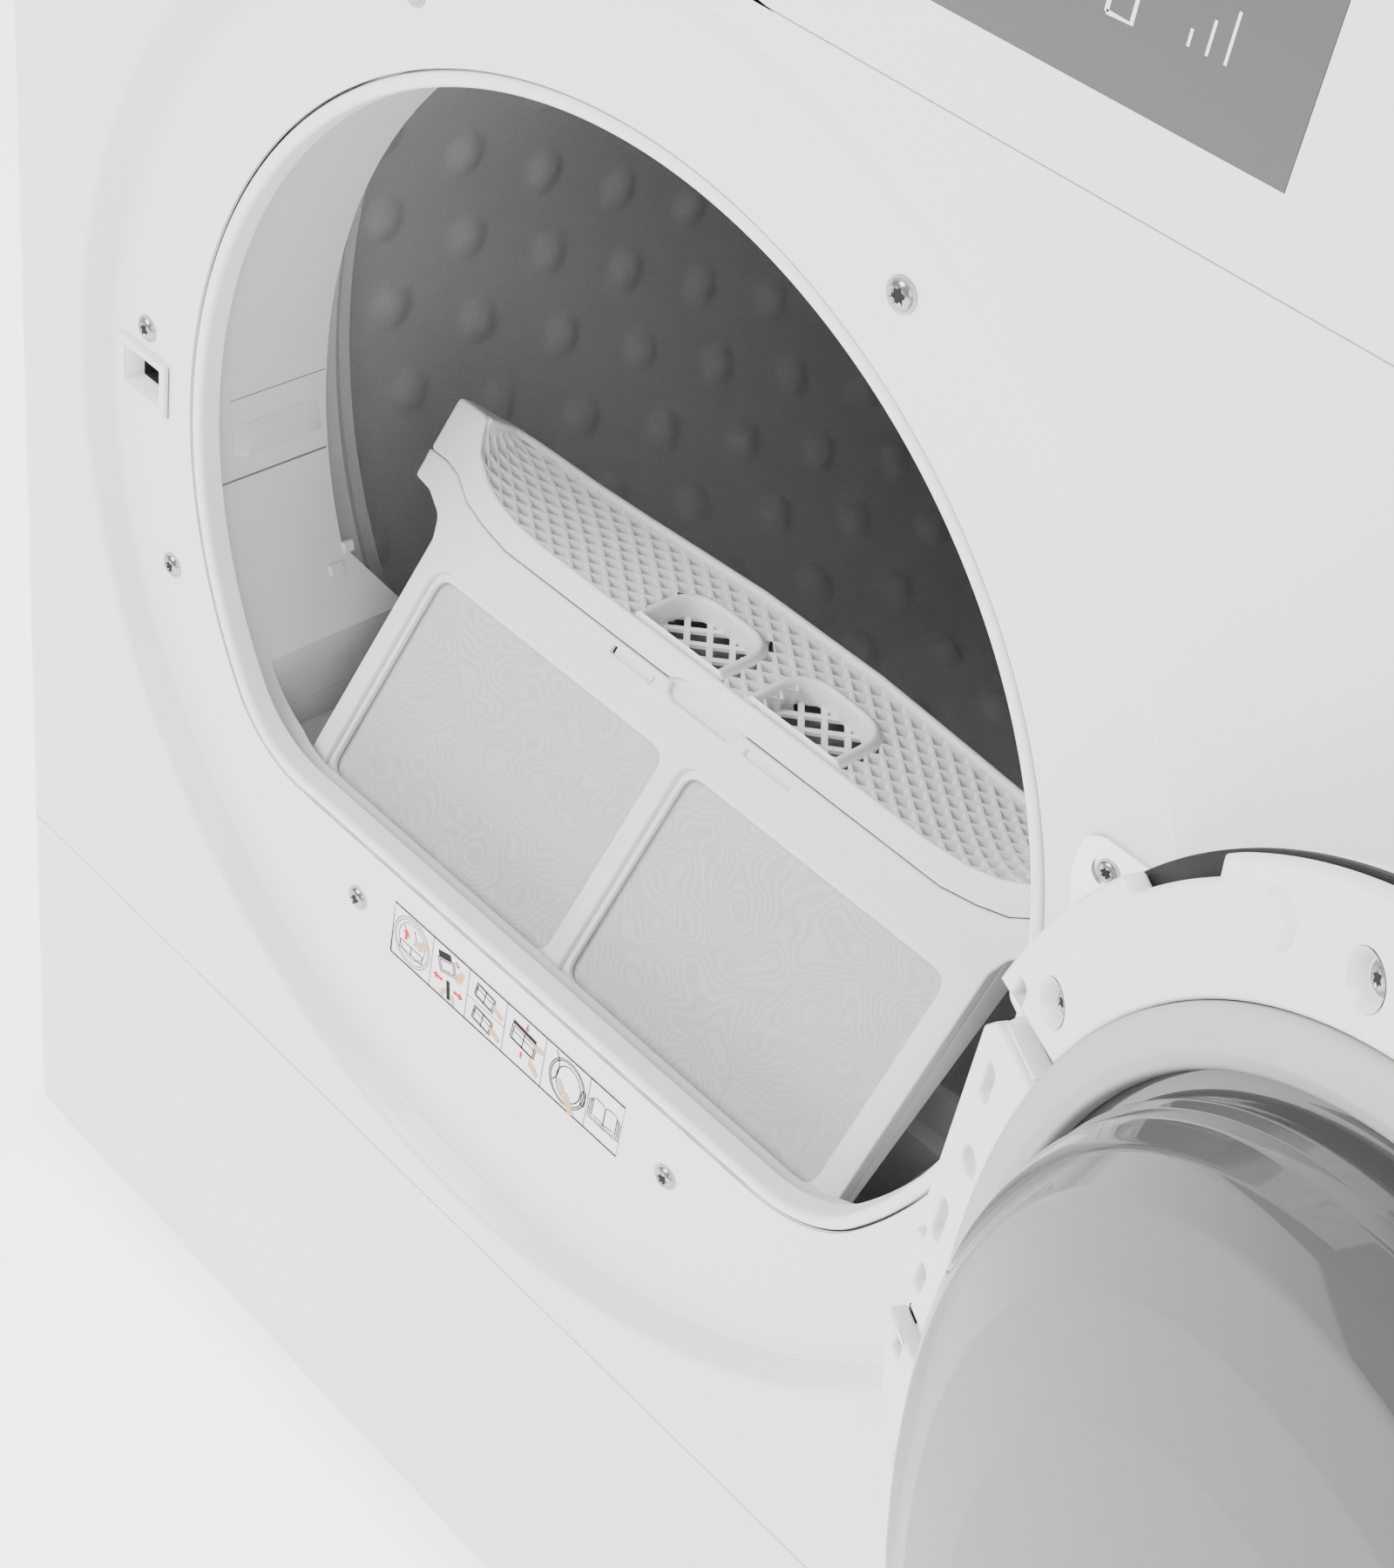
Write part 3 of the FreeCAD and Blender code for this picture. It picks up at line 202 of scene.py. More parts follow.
# Colour, roughness and the way the drawn lines run on each metal.
METALS = {
    "screw_steel": ((0.36, 0.36, 0.36), 0.26, (1, 1, 1)),
    "bracket_steel": ((0.74, 0.74, 0.75), 0.3, (1, 12, 1)),
    "galvanised": ((0.6, 0.61, 0.63), 0.42, (1, 1, 1)),
    "motor_metal": ((0.5, 0.51, 0.53), 0.4, (1, 12, 1)),
    "shaft_steel": ((0.66, 0.66, 0.68), 0.25, (1, 12, 1)),
    "bearing_bronze": ((0.55, 0.38, 0.18), 0.4, (1, 1, 1)),
    "fin_aluminium": ((0.75, 0.76, 0.78), 0.32, (20, 1, 1)),
}
LOOK = {name: plastic(name, *facts) for name, facts in PLASTICS.items()}
LOOK.update({name: metal(name, *facts) for name, facts in METALS.items()})
LOOK["filter_screen"] = screen_fabric("filter_screen")
LOOK["drum_steel"] = drum_steel("drum_steel")
LOOK["bowl_glass"] = glass("bowl_glass", (0.15, 0.152, 0.155), 0.05)

# Painted shade: near-black put where shade falls, in screw recesses, the catch's slot and along the lip's
# inner edge.
SHADE_DARK = plastic("painted_shade_dark", (0.03, 0.03, 0.03), 0.8, 700, 0.00005, 0.2, shine=0.1)
# Painted shade: grey for the sheet under the filter's grille, so its cells look dark inside.
BAG_SHADE = plastic("painted_bag_shade", (0.17, 0.17, 0.173), 0.7, 700, 0.00005, 0.2)
# Grey for the tunnel's real seams and for painted shadow lines round the lip and along the catch's frame.
SEAM_AND_SHADE_GREY = plastic("seam_and_shade_grey", (0.2, 0.2, 0.2), 0.7, 700, 0.00005, 0.1, shine=0.2)
INK_BLACK = plastic("ink_black", (0.01, 0.01, 0.01), 0.6, 900, 0.00001, 0.1, shine=0.1)
INK_RED = plastic("ink_red", (0.7, 0.012, 0.008), 0.6, 900, 0.00001, 0.05, shine=0.1)
INK_SAND = plastic("ink_sand", (0.62, 0.4, 0.24), 0.6, 900, 0.00001, 0.05, shine=0.2)
INK_GREY = plastic("ink_grey", (0.16, 0.16, 0.165), 0.6, 900, 0.00001, 0.05, shine=0.2)
SYMBOL = plastic("symbol_grey", (0.25, 0.25, 0.26), 0.5, 900, 0.00001, 0.05)
GLOW = plastic("symbol_white", (0.8, 0.85, 0.88), 0.4, 900, 0.00001, 0.05)

SLOT_OF = {s["node"]: s["material_slot"] for s in frame["record"]["subparts"]}
for node, thing in NODES.items():
    thing.data.materials.clear()
    thing.data.materials.append(LOOK[SLOT_OF[node]])
    for polygon in thing.data.polygons:
        polygon.material_index = 0


# ------------------------------------------------------------------ making pieces

def linked(name, data):
    thing = bpy.data.objects.new(name, data)
    bpy.context.scene.collection.objects.link(thing)
    return thing


def add(name, verts, faces, look, body, slot=None, smooth=35.0, weld=True):
    """A piece from points in metres, welded, shaded smooth up to an angle and riding on a body."""
    mesh = bpy.data.meshes.new(name)
    mesh.from_pydata([tuple(v) for v in verts], [], faces)
    return finish_mesh(name, mesh, look, body, slot, smooth, weld)


def finish_mesh(name, mesh, look, body, slot=None, smooth=35.0, weld=True):
    work = bmesh.new()
    work.from_mesh(mesh)
    if weld:
        bmesh.ops.remove_doubles(work, verts=work.verts, dist=2e-6)
    bmesh.ops.recalc_face_normals(work, faces=work.faces)
    work.to_mesh(mesh)
    work.free()
    mesh.shade_smooth()
    mesh.set_sharp_from_angle(angle=math.radians(smooth))
    named = isinstance(look, str)
    mesh.materials.clear()
    mesh.materials.append(LOOK[look] if named else look)
    thing = linked(name, mesh)
    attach(thing, body)
    slot = slot or (look if named else None)
    return thing


def grid(points, wrap_u=False, wrap_v=False):
    """Vertices and quads of a grid of points shaped [u, v, 3]."""
    nu, nv = points.shape[:2]
    faces = []
    for i in range(nu if wrap_u else nu - 1):
        for j in range(nv if wrap_v else nv - 1):
            a, b = i * nv + j, i * nv + (j + 1) % nv
            c, d = ((i + 1) % nu) * nv + (j + 1) % nv, ((i + 1) % nu) * nv + j
            faces.append((a, b, c, d))
    return points.reshape(-1, 3), faces


def capped(points):
    """Grid through a run of closed sections, with a face over each end."""
    verts, faces = grid(points, False, True)
    count = points.shape[1]
    last = (len(points) - 1) * count
    return verts, faces + [tuple(range(count)), tuple(last + k for k in range(count))[::-1]]


def moved(verts, place):
    if place is None:
        return verts
    turn = np.array(place, float)
    return np.asarray(verts) @ turn[:3, :3].T + turn[:3, 3]


def soften(points, radii, closed=True, steps=5):
    """Round the corners of a line of (x, y) points. One radius for all, or one per corner."""
    pts = [np.array(p, float) for p in points]
    n = len(pts)
    radii = [radii] * n if isinstance(radii, (int, float)) else radii
    out = []
    for i, p in enumerate(pts):
        if not closed and i in (0, n - 1):
            out.append(p)
            continue
        a, b = pts[i - 1] - p, pts[(i + 1) % n] - p
        la, lb = np.linalg.norm(a), np.linalg.norm(b)
        if min(la, lb) < 1e-6:
            continue
        a, b = a / la, b / lb
        turn = math.acos(max(-1, min(1, float(a @ b))))
        if radii[i] <= 0 or not 0.02 < turn < math.pi - 0.02:
            out.append(p)
            continue
        cut = min(radii[i] / math.tan(turn / 2), 0.49 * la, 0.49 * lb)
        for k in range(steps + 1):
            t = k / steps
            first, last = p + a * cut, p + b * cut
            out.append((1 - t) ** 2 * first + 2 * t * (1 - t) * p + t * t * last)
    return out


def lathe(name, profile, look, body, radius, place=None, **more):
    """Ring about the porthole's axis from (radius, distance behind the front) points in mm."""
    line = np.array(soften(profile, radius))
    turn = np.linspace(0, FULL_TURN, 256, endpoint=False)
    r, y = line[:, 0] * MM, line[:, 1] * MM + FRONT
    across, height = np.outer(np.sin(turn), r), np.outer(np.cos(turn), r) + PORT_Z
    verts, faces = grid(np.stack([across, np.tile(y, (len(turn), 1)), height], -1), True, True)
    return add(name, moved(verts, place), faces, look, body, **more)


OPENED = Matrix.Translation(HINGE) @ Matrix.Rotation(DOOR_OPEN, 4, "Z") @ Matrix.Translation(-HINGE)
FRONTAL = Matrix(((1, 0, 0, 0), (0, 0, 1, FRONT), (0, 1, 0, 0), (0, 0, 0, 1)))
PORTHOLE = Matrix.Translation((0, 0, PORT_Z)) @ FRONTAL
FILTER = Matrix(((1, 0, 0, 0),
                 (0, math.sin(LEAN), math.cos(LEAN), FRONT + 0.036),
                 (0, math.cos(LEAN), -math.sin(LEAN), PORT_Z - 0.131),
                 (0, 0, 0, 1)))


def signed_area(loop):
    return sum(a[0] * b[1] - b[0] * a[1] for a, b in zip(loop, loop[1:] + loop[:1])) / 2


def plate_mesh(loops, d0, d1, edge, rings=2):
    """Flat plate with holes and rounded edges, as a mesh in mm: x, y across and z from d0 to d1."""
    curve = bpy.data.curves.new("plate", "CURVE")
    curve.dimensions = "2D"
    curve.fill_mode = "BOTH"
    curve.extrude = (d1 - d0) / 2 - edge
    curve.bevel_depth = edge
    curve.bevel_resolution = rings
    curve.offset = -edge
    for k, loop in enumerate(loops):
        loop = [tuple(p) for p in loop]
        if (signed_area(loop) > 0) == (k > 0):
            loop = loop[::-1]
        spline = curve.splines.new("POLY")
        spline.points.add(len(loop) - 1)
        for point, (x, y) in zip(spline.points, loop):
            point.co = (x, y, 0, 1)
        spline.use_cyclic_u = True
    thing = linked("plate", curve)
    graph = bpy.context.evaluated_depsgraph_get()
    mesh = bpy.data.meshes.new_from_object(thing.evaluated_get(graph))
    bpy.data.objects.remove(thing)
    mesh.transform(Matrix.Translation((0, 0, (d0 + d1) / 2)))
    return mesh


def plate(name, loops, d0, d1, edge, look, body, place=FRONTAL, rings=2, **more):
    mesh = plate_mesh(loops, d0, d1, edge, rings)
    mesh.transform(Matrix(place) @ Matrix.Diagonal((MM, MM, MM, 1)))
    return finish_mesh(name, mesh, look, body, **more)


def block(x0, x1, y0, y1, radius=1.0, steps=5):
    return soften([(x0, y0), (x1, y0), (x1, y1), (x0, y1)], radius, True, steps)


def circle(cx, cy, radius, count=40):
    turn = [FULL_TURN * k / count for k in range(count)]
    return [(cx + radius * math.cos(a), cy + radius * math.sin(a)) for a in turn]


def on_clock(radius, degrees):
    """Point on a circle, with the angle clockwise from the top."""
    a = math.radians(degrees)
    return (radius * math.sin(a), radius * math.cos(a))


def tube(name, path, radius, look, body, place=None, closed=False, sides=10, **more):
    """Round wire or groove along points in metres."""
    pts = np.asarray(path, float)
    ahead = np.roll(pts, -1, 0) - np.roll(pts, 1, 0)
    if not closed:
        ahead[0], ahead[-1] = pts[1] - pts[0], pts[-1] - pts[-2]
    ahead /= np.linalg.norm(ahead, axis=1, keepdims=True)
    side = np.cross(ahead, [0.0, 0.0, 1.0])
    flat = np.linalg.norm(side, axis=1) < 0.2
    side[flat] = np.cross(ahead[flat], [0.0, 1.0, 0.0])
    side /= np.linalg.norm(side, axis=1, keepdims=True)
    up = np.cross(side, ahead)
    turn = np.linspace(0, FULL_TURN, sides, endpoint=False)[None, :, None]
    rings = pts[:, None] + radius * (np.cos(turn) * side[:, None] + np.sin(turn) * up[:, None])
    verts, faces = grid(rings, True, True) if closed else capped(rings)
    return add(name, moved(verts, place), faces, look, body, **more)


def porthole_loop(radius, floor, fillet):
    """Round loop with a flat floor and rounded lower corners, as (x, z) in mm about the porthole's centre."""
    drop = floor - fillet
    corner = math.sqrt((radius - fillet) ** 2 - drop ** 2)
    end = math.atan2(drop, corner)
    sweep = math.pi + 2 * end
    arc_steps, corner_steps, floor_steps = 199, 24, 12
    loop = []
    for k in range(arc_steps + 1):
        a = math.pi + end - sweep * k / arc_steps
        loop.append((radius * math.cos(a), radius * math.sin(a)))
    for side in (1, -1):
        for k in range(1, corner_steps):
            a = (-end if side > 0 else -math.pi / 2) - (math.pi / 2 - end) * k / corner_steps
            loop.append((side * corner + fillet * math.cos(a), -drop + fillet * math.sin(a)))
        if side > 0:
            loop += [(corner - 2 * corner * k / floor_steps, -floor) for k in range(floor_steps + 1)]
    return loop


# ------------------------------------------------------------------ front panel, surround and lip

def loft(name, loops, look, body, place=PORTHOLE, closed=False, ends=False, **more):
    """Skin through closed loops of points in mm, which may close into a ring or have its ends filled."""
    points = np.array(loops, float) * MM
    verts, faces = capped(points) if ends else grid(points, closed, True)
    return add(name, moved(verts, place), faces, look, body, **more)


def sheet(name, point, nu, nv, look, body, place, **more):
    """Open skin through point(u, v) in mm, with u and v from 0 to 1."""
    rows = [[point(i / (nu - 1), j / (nv - 1)) for j in range(nv)] for i in range(nu)]
    verts, faces = grid(np.array(rows) * MM)
    return add(name, moved(verts, place), faces, look, body, **more)


def resampled(loop, angles):
    """Points of a star-shaped loop at the given angles about the porthole's centre."""
    pts = np.array(loop)
    a = np.unwrap(np.arctan2(pts[:, 1], pts[:, 0]))
    if a[-1] < a[0]:
        a, pts = a[::-1], pts[::-1]
    a3 = np.concatenate([a - FULL_TURN, a, a + FULL_TURN])
    r3 = np.tile(np.hypot(pts[:, 0], pts[:, 1]), 3)
    want = a[0] + (np.array(angles) - a[0]) % FULL_TURN
    radius = np.interp(want, a3, r3)
    return np.stack([radius * np.cos(angles), radius * np.sin(angles)], 1)


PORT_RADIUS, PORT_FLOOR, PORT_FILLET = 199, 134, 50
TUNNEL_WALL = 200.3
SHEET = 1.2
DISH_DEPTH = 12
DISH_RADIUS = 262
ROLL = 12


def front_skin():
    """Pressed sheet from the porthole out to the corners, dished round the porthole, with rolled sides."""
    low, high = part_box("front_panel")
    z0, z1 = (low.z - PORT_Z) / MM, (high.z - PORT_Z) / MM
    flat_x = HALF_W / MM - ROLL
    corner_angles = [math.atan2(z, x) for x in (-flat_x, flat_x) for z in (z0, z1)]
    angles = np.sort(np.concatenate([np.linspace(-math.pi, math.pi, 400, endpoint=False), corner_angles]))
    ux, uz = np.cos(angles), np.sin(angles)
    edge_r = np.minimum(flat_x / np.maximum(np.abs(ux), 1e-9),
                        np.where(uz > 0, z1, -z0) / np.maximum(np.abs(uz), 1e-9))
    dish = [(DISH_RADIUS, 0), (250.5, 0), (244.5, DISH_DEPTH), (232, DISH_DEPTH)]
    profile = soften(dish, [0, 4.5, 7, 0], False, 10)
    hole = resampled(porthole_loop(PORT_RADIUS + 0.6, PORT_FLOOR + 0.6, PORT_FILLET + 0.6), angles)
    hole_r = np.hypot(hole[:, 0], hole[:, 1])

    def ring(radius, d):
        return np.stack([radius * ux, radius * uz, np.full(len(angles), d)], 1)

    outer = [ring(edge_r, 0), ring(edge_r * 0.55 + DISH_RADIUS * 0.45, 0)] + [ring(r, d) for r, d in profile]
    outer += [ring((hole_r + dish[-1][0]) / 2, DISH_DEPTH), ring(hole_r, DISH_DEPTH)]
    inner = [loop + np.array([0, 0, SHEET]) for loop in outer]
    for loop, (r, _) in zip(inner[2:], profile):
        loop[:, 0] = (r - 0.8) * ux
        loop[:, 1] = (r - 0.8) * uz
    skin = loft("front_panel_skin", outer + inner[::-1], "painted_white", "cabinet", closed=True, smooth=40)
    for side, label in ((-1, "left"), (1, "right")):
        line = []
        for radius in (ROLL, ROLL - SHEET):
            arc = [(flat_x + radius * math.sin(t), ROLL - radius * math.cos(t))
                   for t in np.linspace(0, math.pi / 2, 13)]
            strip = arc + [(flat_x + radius, 20)]
            line += strip if radius == ROLL else strip[::-1]
        points = [[(side * x, z, d) for x, d in line] for z in np.linspace(z0, z1, 9)]
        loft(f"front_panel_roll_{label}", points, "painted_white", "cabinet", ends=True, smooth=40)
    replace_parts(skin, "front_panel")


def porthole_lip():
    """Rounded bead round the opening and its wall back to the tunnel, with a fine shadow line round it."""
    loops = []
    section = soften([(0, 20.8), (0, 11.85), (-5.2, 11.85), (-5.2, 20.8)], [0, 2.3, 2.5, 0], True, 6)
    for grow, d in section:
        loop = porthole_loop(PORT_RADIUS + grow, PORT_FLOOR + grow, PORT_FILLET + grow)
        loops.append([(x, z, d) for x, z in loop])
    lip = loft("porthole_lip", loops, "white_plastic", "cabinet", closed=True, smooth=50)
    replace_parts(lip, "porthole_trim")
    shadows = (("outer", 0.5, 12.05, 0.12, SEAM_AND_SHADE_GREY), ("inner", -3.4, 21.1, 0.5, SHADE_DARK))
    for name, grow, d, wire, look in shadows:
        loop = porthole_loop(PORT_RADIUS + grow, PORT_FLOOR + grow, PORT_FILLET)
        path = [(x * MM, FRONT + d * MM, PORT_Z + z * MM) for x, z in loop]
        tube(f"lip_shadow_{name}", path, wire * MM, look, "cabinet", closed=True, sides=6)


def pierced(thing, low, high):
    """Cut a box-shaped hole, given in metres, through one of the added pieces."""
    verts = [(x, y, z) for x in (low[0], high[0]) for y in (low[1], high[1]) for z in (low[2], high[2])]
    faces = [(0, 1, 3, 2), (4, 6, 7, 5), (0, 4, 5, 1), (2, 3, 7, 6), (0, 2, 6, 4), (1, 5, 7, 3)]
    mesh = bpy.data.meshes.new("cutter")
    mesh.from_pydata(verts, [], faces)
    cutter = linked("cutter", mesh)
    cut = thing.modifiers.new("hole", "BOOLEAN")
    cut.operation, cut.object = "DIFFERENCE", cutter
    graph = bpy.context.evaluated_depsgraph_get()
    result = bpy.data.meshes.new_from_object(thing.evaluated_get(graph))
    thing.modifiers.remove(cut)
    thing.data = result
    bpy.data.objects.remove(cutter)


def latch_bezel():
    """Raised frame with a funnel that leads up to the catch's slot, with painted shade in its throat and floor
    and a painted shadow line at the frame's edge.
    """
    low = (-239.4 * MM, FRONT + 6 * MM, PORT_Z - 13.2 * MM)
    high = (-214.6 * MM, FRONT + 20 * MM, PORT_Z + 5.2 * MM)
    pierced(bpy.data.objects["front_panel_skin"], low, high)
    frame_loops = [block(-241.3, -212.7, -15, 7, 0.9), block(-237.9, -216.1, -11.7, 3.7, 0.5)]
    bezel = plate("latch_frame", frame_loops, 9.9, 12.2, 0.45, "white_plastic", "cabinet", PORTHOLE, 3)
    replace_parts(bezel, "latch_bezel")
    steps = [((-238, -216, -11.8, 3.8), 10.3), ((-237.4, -216.8, -11.4, 3.2), 11.2),
             ((-235.6, -219.4, -10.4, 2.6), 17.6)]
    loops = [[(x, z, d) for x, z in block(*edges, 0.6)] for edges, d in steps]
    loft("latch_funnel", loops, "white_plastic", "cabinet")
    # Painted shade: the throat and floor of the catch's slot are near-black.
    throat = [loops[-1], [(x, z, 33) for x, z, _ in loops[-1]]]
    loft("latch_throat_shade", throat, SHADE_DARK, "cabinet", slot="tray_plastic")
    plate("latch_slot_shade", [block(-236.2, -219, -10.8, 3, 0.5)], 33, 33.8, 0.2, SHADE_DARK, "cabinet", PORTHOLE,
          slot="tray_plastic")
    # Painted shadow: a thin grey strip along the frame's right edge.
    plate("latch_shadow_line", [block(-212.9, -212.3, -15.4, 6.4, 0.2)], 11.7, 12.0, 0.05, SEAM_AND_SHADE_GREY, "cabinet", PORTHOLE,
          slot="white_plastic")


def tunnel_patch(name, angles, depths, height):
    """Raised patch on the tunnel's wall; height(u, v) in mm over 0..1 round and 0..1 back."""
    def point(u, v):
        r = TUNNEL_WALL - (0 if u in (0, 1) or v in (0, 1) else height(u, v))
        angle = angles[0] + (angles[1] - angles[0]) * u
        return (*on_clock(r, angle), depths[0] + (depths[1] - depths[0]) * v)

    return sheet(name, point, 15, 9, "tunnel_plastic", "cabinet", PORTHOLE, smooth=25)


def tunnel_details():
    """Seams, moulded wedges and clips on the tunnel behind the lip."""
    seams = ((101.6, 21.6, 74, 0.4), (92.0, 30, 74, 0.16))
    patches_made = (("wedge", 95.0, 99.2, (31, 73.5), lambda u, v: 0.4 + 2.9 * u * (1 - 0.55 * v)),
                    ("clip", 113.2, 114.6, (74.5, 80), lambda u, v: 2.0),
                    ("stop", 115.2, 116.6, (66, 74), lambda u, v: 1.4))
    for side, name in ((1, "right"), (-1, "left")):
        for k, (angle, d0, d1, wire) in enumerate(seams):
            x, z = on_clock((TUNNEL_WALL - 0.4) * MM, side * angle)
            path = [(x, FRONT + d * MM, PORT_Z + z) for d in np.linspace(d0, d1, 12)]
            tube(f"tunnel_seam_{name}_{k + 1}", path, wire * MM, SEAM_AND_SHADE_GREY, "cabinet", sides=6,
                 slot="tunnel_plastic")
        for kind, a0, a1, depths, height in patches_made:
            tunnel_patch(f"tunnel_{kind}_{name}", (side * a0, side * a1), depths, height)


front_skin()
porthole_lip()
latch_bezel()
tunnel_details()


def star_screw(name, place, body, scale=1.0):
    """Flanged pan-head screw with a six-lobed recess; its axis is local z, pointing back."""
    turn = [FULL_TURN * j / 60 for j in range(60)]
    profile = [(0.01, -0.5), (1.0, -0.5), (2.2, -1.6), (3.1, -1.35), (3.8, -0.75), (4.05, -0.25),
               (4.8, -0.12), (4.85, 0.1), (4.85, 0.3), (0.01, 0.3)]
    loops = []
    for k, (r, z) in enumerate(profile):
        ring = []
        for a in turn:
            lobed = r * (1 + 0.16 * math.cos(6 * a)) if k in (1, 2) else r
            ring.append((lobed * math.cos(a) * scale, lobed * math.sin(a) * scale, z * scale))
        loops.append(ring)
    # Painted shade: a flat dark star in the head's six-lobed recess.
    star = []
    for a in turn:
        r = 1.75 * scale * (1 + 0.22 * math.cos(6 * a))
        star.append((r * math.cos(a), r * math.sin(a), -1.25 * scale))
    recess = moved(np.array(star) * MM, place)
    add(name + "_recess_shade", recess, [tuple(range(len(turn)))], SHADE_DARK, body, "screw_steel")
    return loft(name, loops, "screw_steel", body, place=place, smooth=38)


SCREW_SPOTS = [(-226, 16), (-208, -80), (-86, -162), (86, -162), (-97, 200), (97, 200)]
screws = []
for k, (x, z) in enumerate(SCREW_SPOTS):
    spin = Matrix.Rotation(0.7 * k, 4, "Z")
    place = PORTHOLE @ Matrix.Translation((x * MM, z * MM, 11.8 * MM)) @ spin
    screws.append(star_screw(f"surround_screw_{k + 1}", place, "cabinet", 1.08))
for k, z in enumerate((82, -82)):
    place = PORTHOLE @ Matrix.Translation((206 * MM, z * MM, 11.2 * MM))
    screws.append(star_screw(f"hinge_screw_{k + 1}", place, "cabinet", 0.8))
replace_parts(screws[0], "surround_screws")


# ------------------------------------------------------------------ drum

def drum_wall():
    """Rolled drum with rows of round dents pressed inwards, its front flange and collar."""
    around, along = 720, 150
    turn = np.linspace(0, FULL_TURN, around, endpoint=False)
    y0, y1, wall, sheet = 113.0, 486.0, 280.0, 1.0
    row_count, row_pitch, row_turn, drift = 46, 48.0, math.radians(4.2), 5
    first_y, first_turn = 173, math.radians(-100.1)
    dent_radius, dent_depth, edge_margin = 11.5, 4.2, 14
    step_y = row_pitch * drift / row_count
    step_turn = (FULL_TURN + row_turn * drift) / row_count
    ys = np.linspace(y0, y1, along)
    tt, yy = np.meshgrid(turn, ys, indexing="ij")
    push = np.zeros_like(tt)
    for i in range(-7, 8):
        for j in range(-23, row_count - 23):
            cy = first_y + row_pitch * i + step_y * j
            ca = first_turn - row_turn * i - step_turn * j
            if not y0 + edge_margin < cy < y1 - edge_margin:
                continue
            da = (tt - ca + math.pi) % FULL_TURN - math.pi
            dist = np.hypot(da * wall, yy - cy) / dent_radius
            push = np.maximum(push, np.maximum(0, 1 - dist ** 2) ** 1.4)
    push *= dent_depth
    ones = np.ones(around)
    rows = [(r * ones, y) for r, y in ((232.0, 92.5), (232.0, 112.0), (234.0, 113.0))]
    rows += [(wall - push[:, k], ys[k]) for k in range(along)]
    rows += [(wall + sheet - push[:, k], ys[k]) for k in range(along - 1, -1, -1)]
    rows += [(r * ones, y) for r, y in ((281.0, 112.0), (233.0, 112.0), (233.0, 92.0), (232.0, 92.0))]
    radius = np.stack([r for r, _ in rows], 1) * MM
    depth = np.stack([y * ones for _, y in rows], 1) * MM + FRONT
    points = np.stack([np.sin(turn)[:, None] * radius, depth, np.cos(turn)[:, None] * radius + PORT_Z], -1)
    verts, faces = grid(points, True, True)
    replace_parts(add("drum_wall", verts, faces, "drum_steel", "drum", smooth=50), "drum_shell")


drum_wall()


# ------------------------------------------------------------------ lint filter

SEAM = [(111, 103.4), (126, 106.0), (138, 109.4), (148, 115.8), (155.5, 117.7), (165.5, 117.8)]
RIM = [(98, 113.8), (116, 115.3), (128, 118.2), (138, 123.0), (144, 128.5), (147.5, 134.5), (149, 141.0)]


def rim_height(x):
    line = [(0, 113.8)] + RIM
    return float(np.interp(abs(x), [p[0] for p in line], [p[1] for p in line]))


def filter_plate(name, loops, d0, d1, edge, rings=2, place=FILTER, **more):
    return plate(name, loops, d0, d1, edge, "filter_plastic", "lint_filter", place, rings, **more)


def filter_frame():
    """Front half: shouldered frame with two stepped windows, slots and a thumb dish."""
    shoulder = [(143.2, -22), (143.2, 90), (146.5, 98.5), (156.5, 104.5), (165.5, 105.8), (165.5, 117.3)]
    seam = [(x, s - 0.3) for x, s in SEAM[::-1]]
    radii = [0, 3, 9, 8, 6, 2, 1] + [6] * 5 + [0, 0, 0]
    right = soften([(0, -22), *shoulder, *seam, (16, 103.1), (16, 101)], radii, False, 4)
    thumb = [(15.2, 99.2), (11.5, 97.6), (-14.5, 97.6), (-18.2, 99.2)]
    left = [(-x, s) for x, s in right[1:]][::-1]
    left = [(x - 3 if -17 < x < -15 else x, s) for x, s in left]
    windows = [block(3.1, 134.6, -14, 83, 8), block(-134.6, -3.1, -14, 83, 8)]
    slots = [block(-48, -26, 97.6, 100.6, 0.7, 3), block(21.6, 44.5, 97.6, 100.6, 0.7, 3)]
    loops = [list(right) + thumb + left, *windows, *slots]
    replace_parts(filter_plate("filter_front_skin", loops, 0, 3, 1.0, 3, smooth=50), "filter_front")
    for k, (x0, x1) in enumerate(((-46.9, -27), (20.6, 45.5))):
        filter_plate(f"filter_slot_floor_{k + 1}", [block(x0, x1, 96.5, 101.6, 1)], 1.7, 2.9, 0.3)
    walls = [block(-143.0, 143.0, -21.8, 96, 3), block(-139.6, 139.6, -18.6, 92, 3)]
    filter_plate("filter_front_walls", walls, 2.2, 8.1, 0.4)
    for side, name in ((1, "right"), (-1, "left")):
        x0, x1 = sorted((side * 2.2, side * 135.8))
        step = [block(x0, x1, -15.2, 84.2, 9), block(x0 + 3.4, x1 - 4.6, -9.5, 79.8, 7)]
        filter_plate(f"filter_window_step_{name}", step, 2.4, 5.0, 0.5)
        ledge = [block(x0 - 0.5, x1 + 0.5, -16, 85, 9), block(x0 + 1.1, x1 - 1.1, -14.1, 83.1, 8)]
        filter_plate(f"filter_window_wall_{name}", ledge, 1.6, 7.2, 0.3)
    ear = [(142, 90), (143.2, 97.6), (156.5, 106.3), (165.2, 107.2), (165.2, 117), (155, 116.6), (147, 114),
           (138, 107.5), (138, 88)]
    for side, name in ((1, "right"), (-1, "left")):
        loop = soften([(side * x, s) for x, s in ear], 3, True, 3)
        filter_plate(f"filter_ear_front_{name}", [loop], 2.0, 8.0, 0.6)


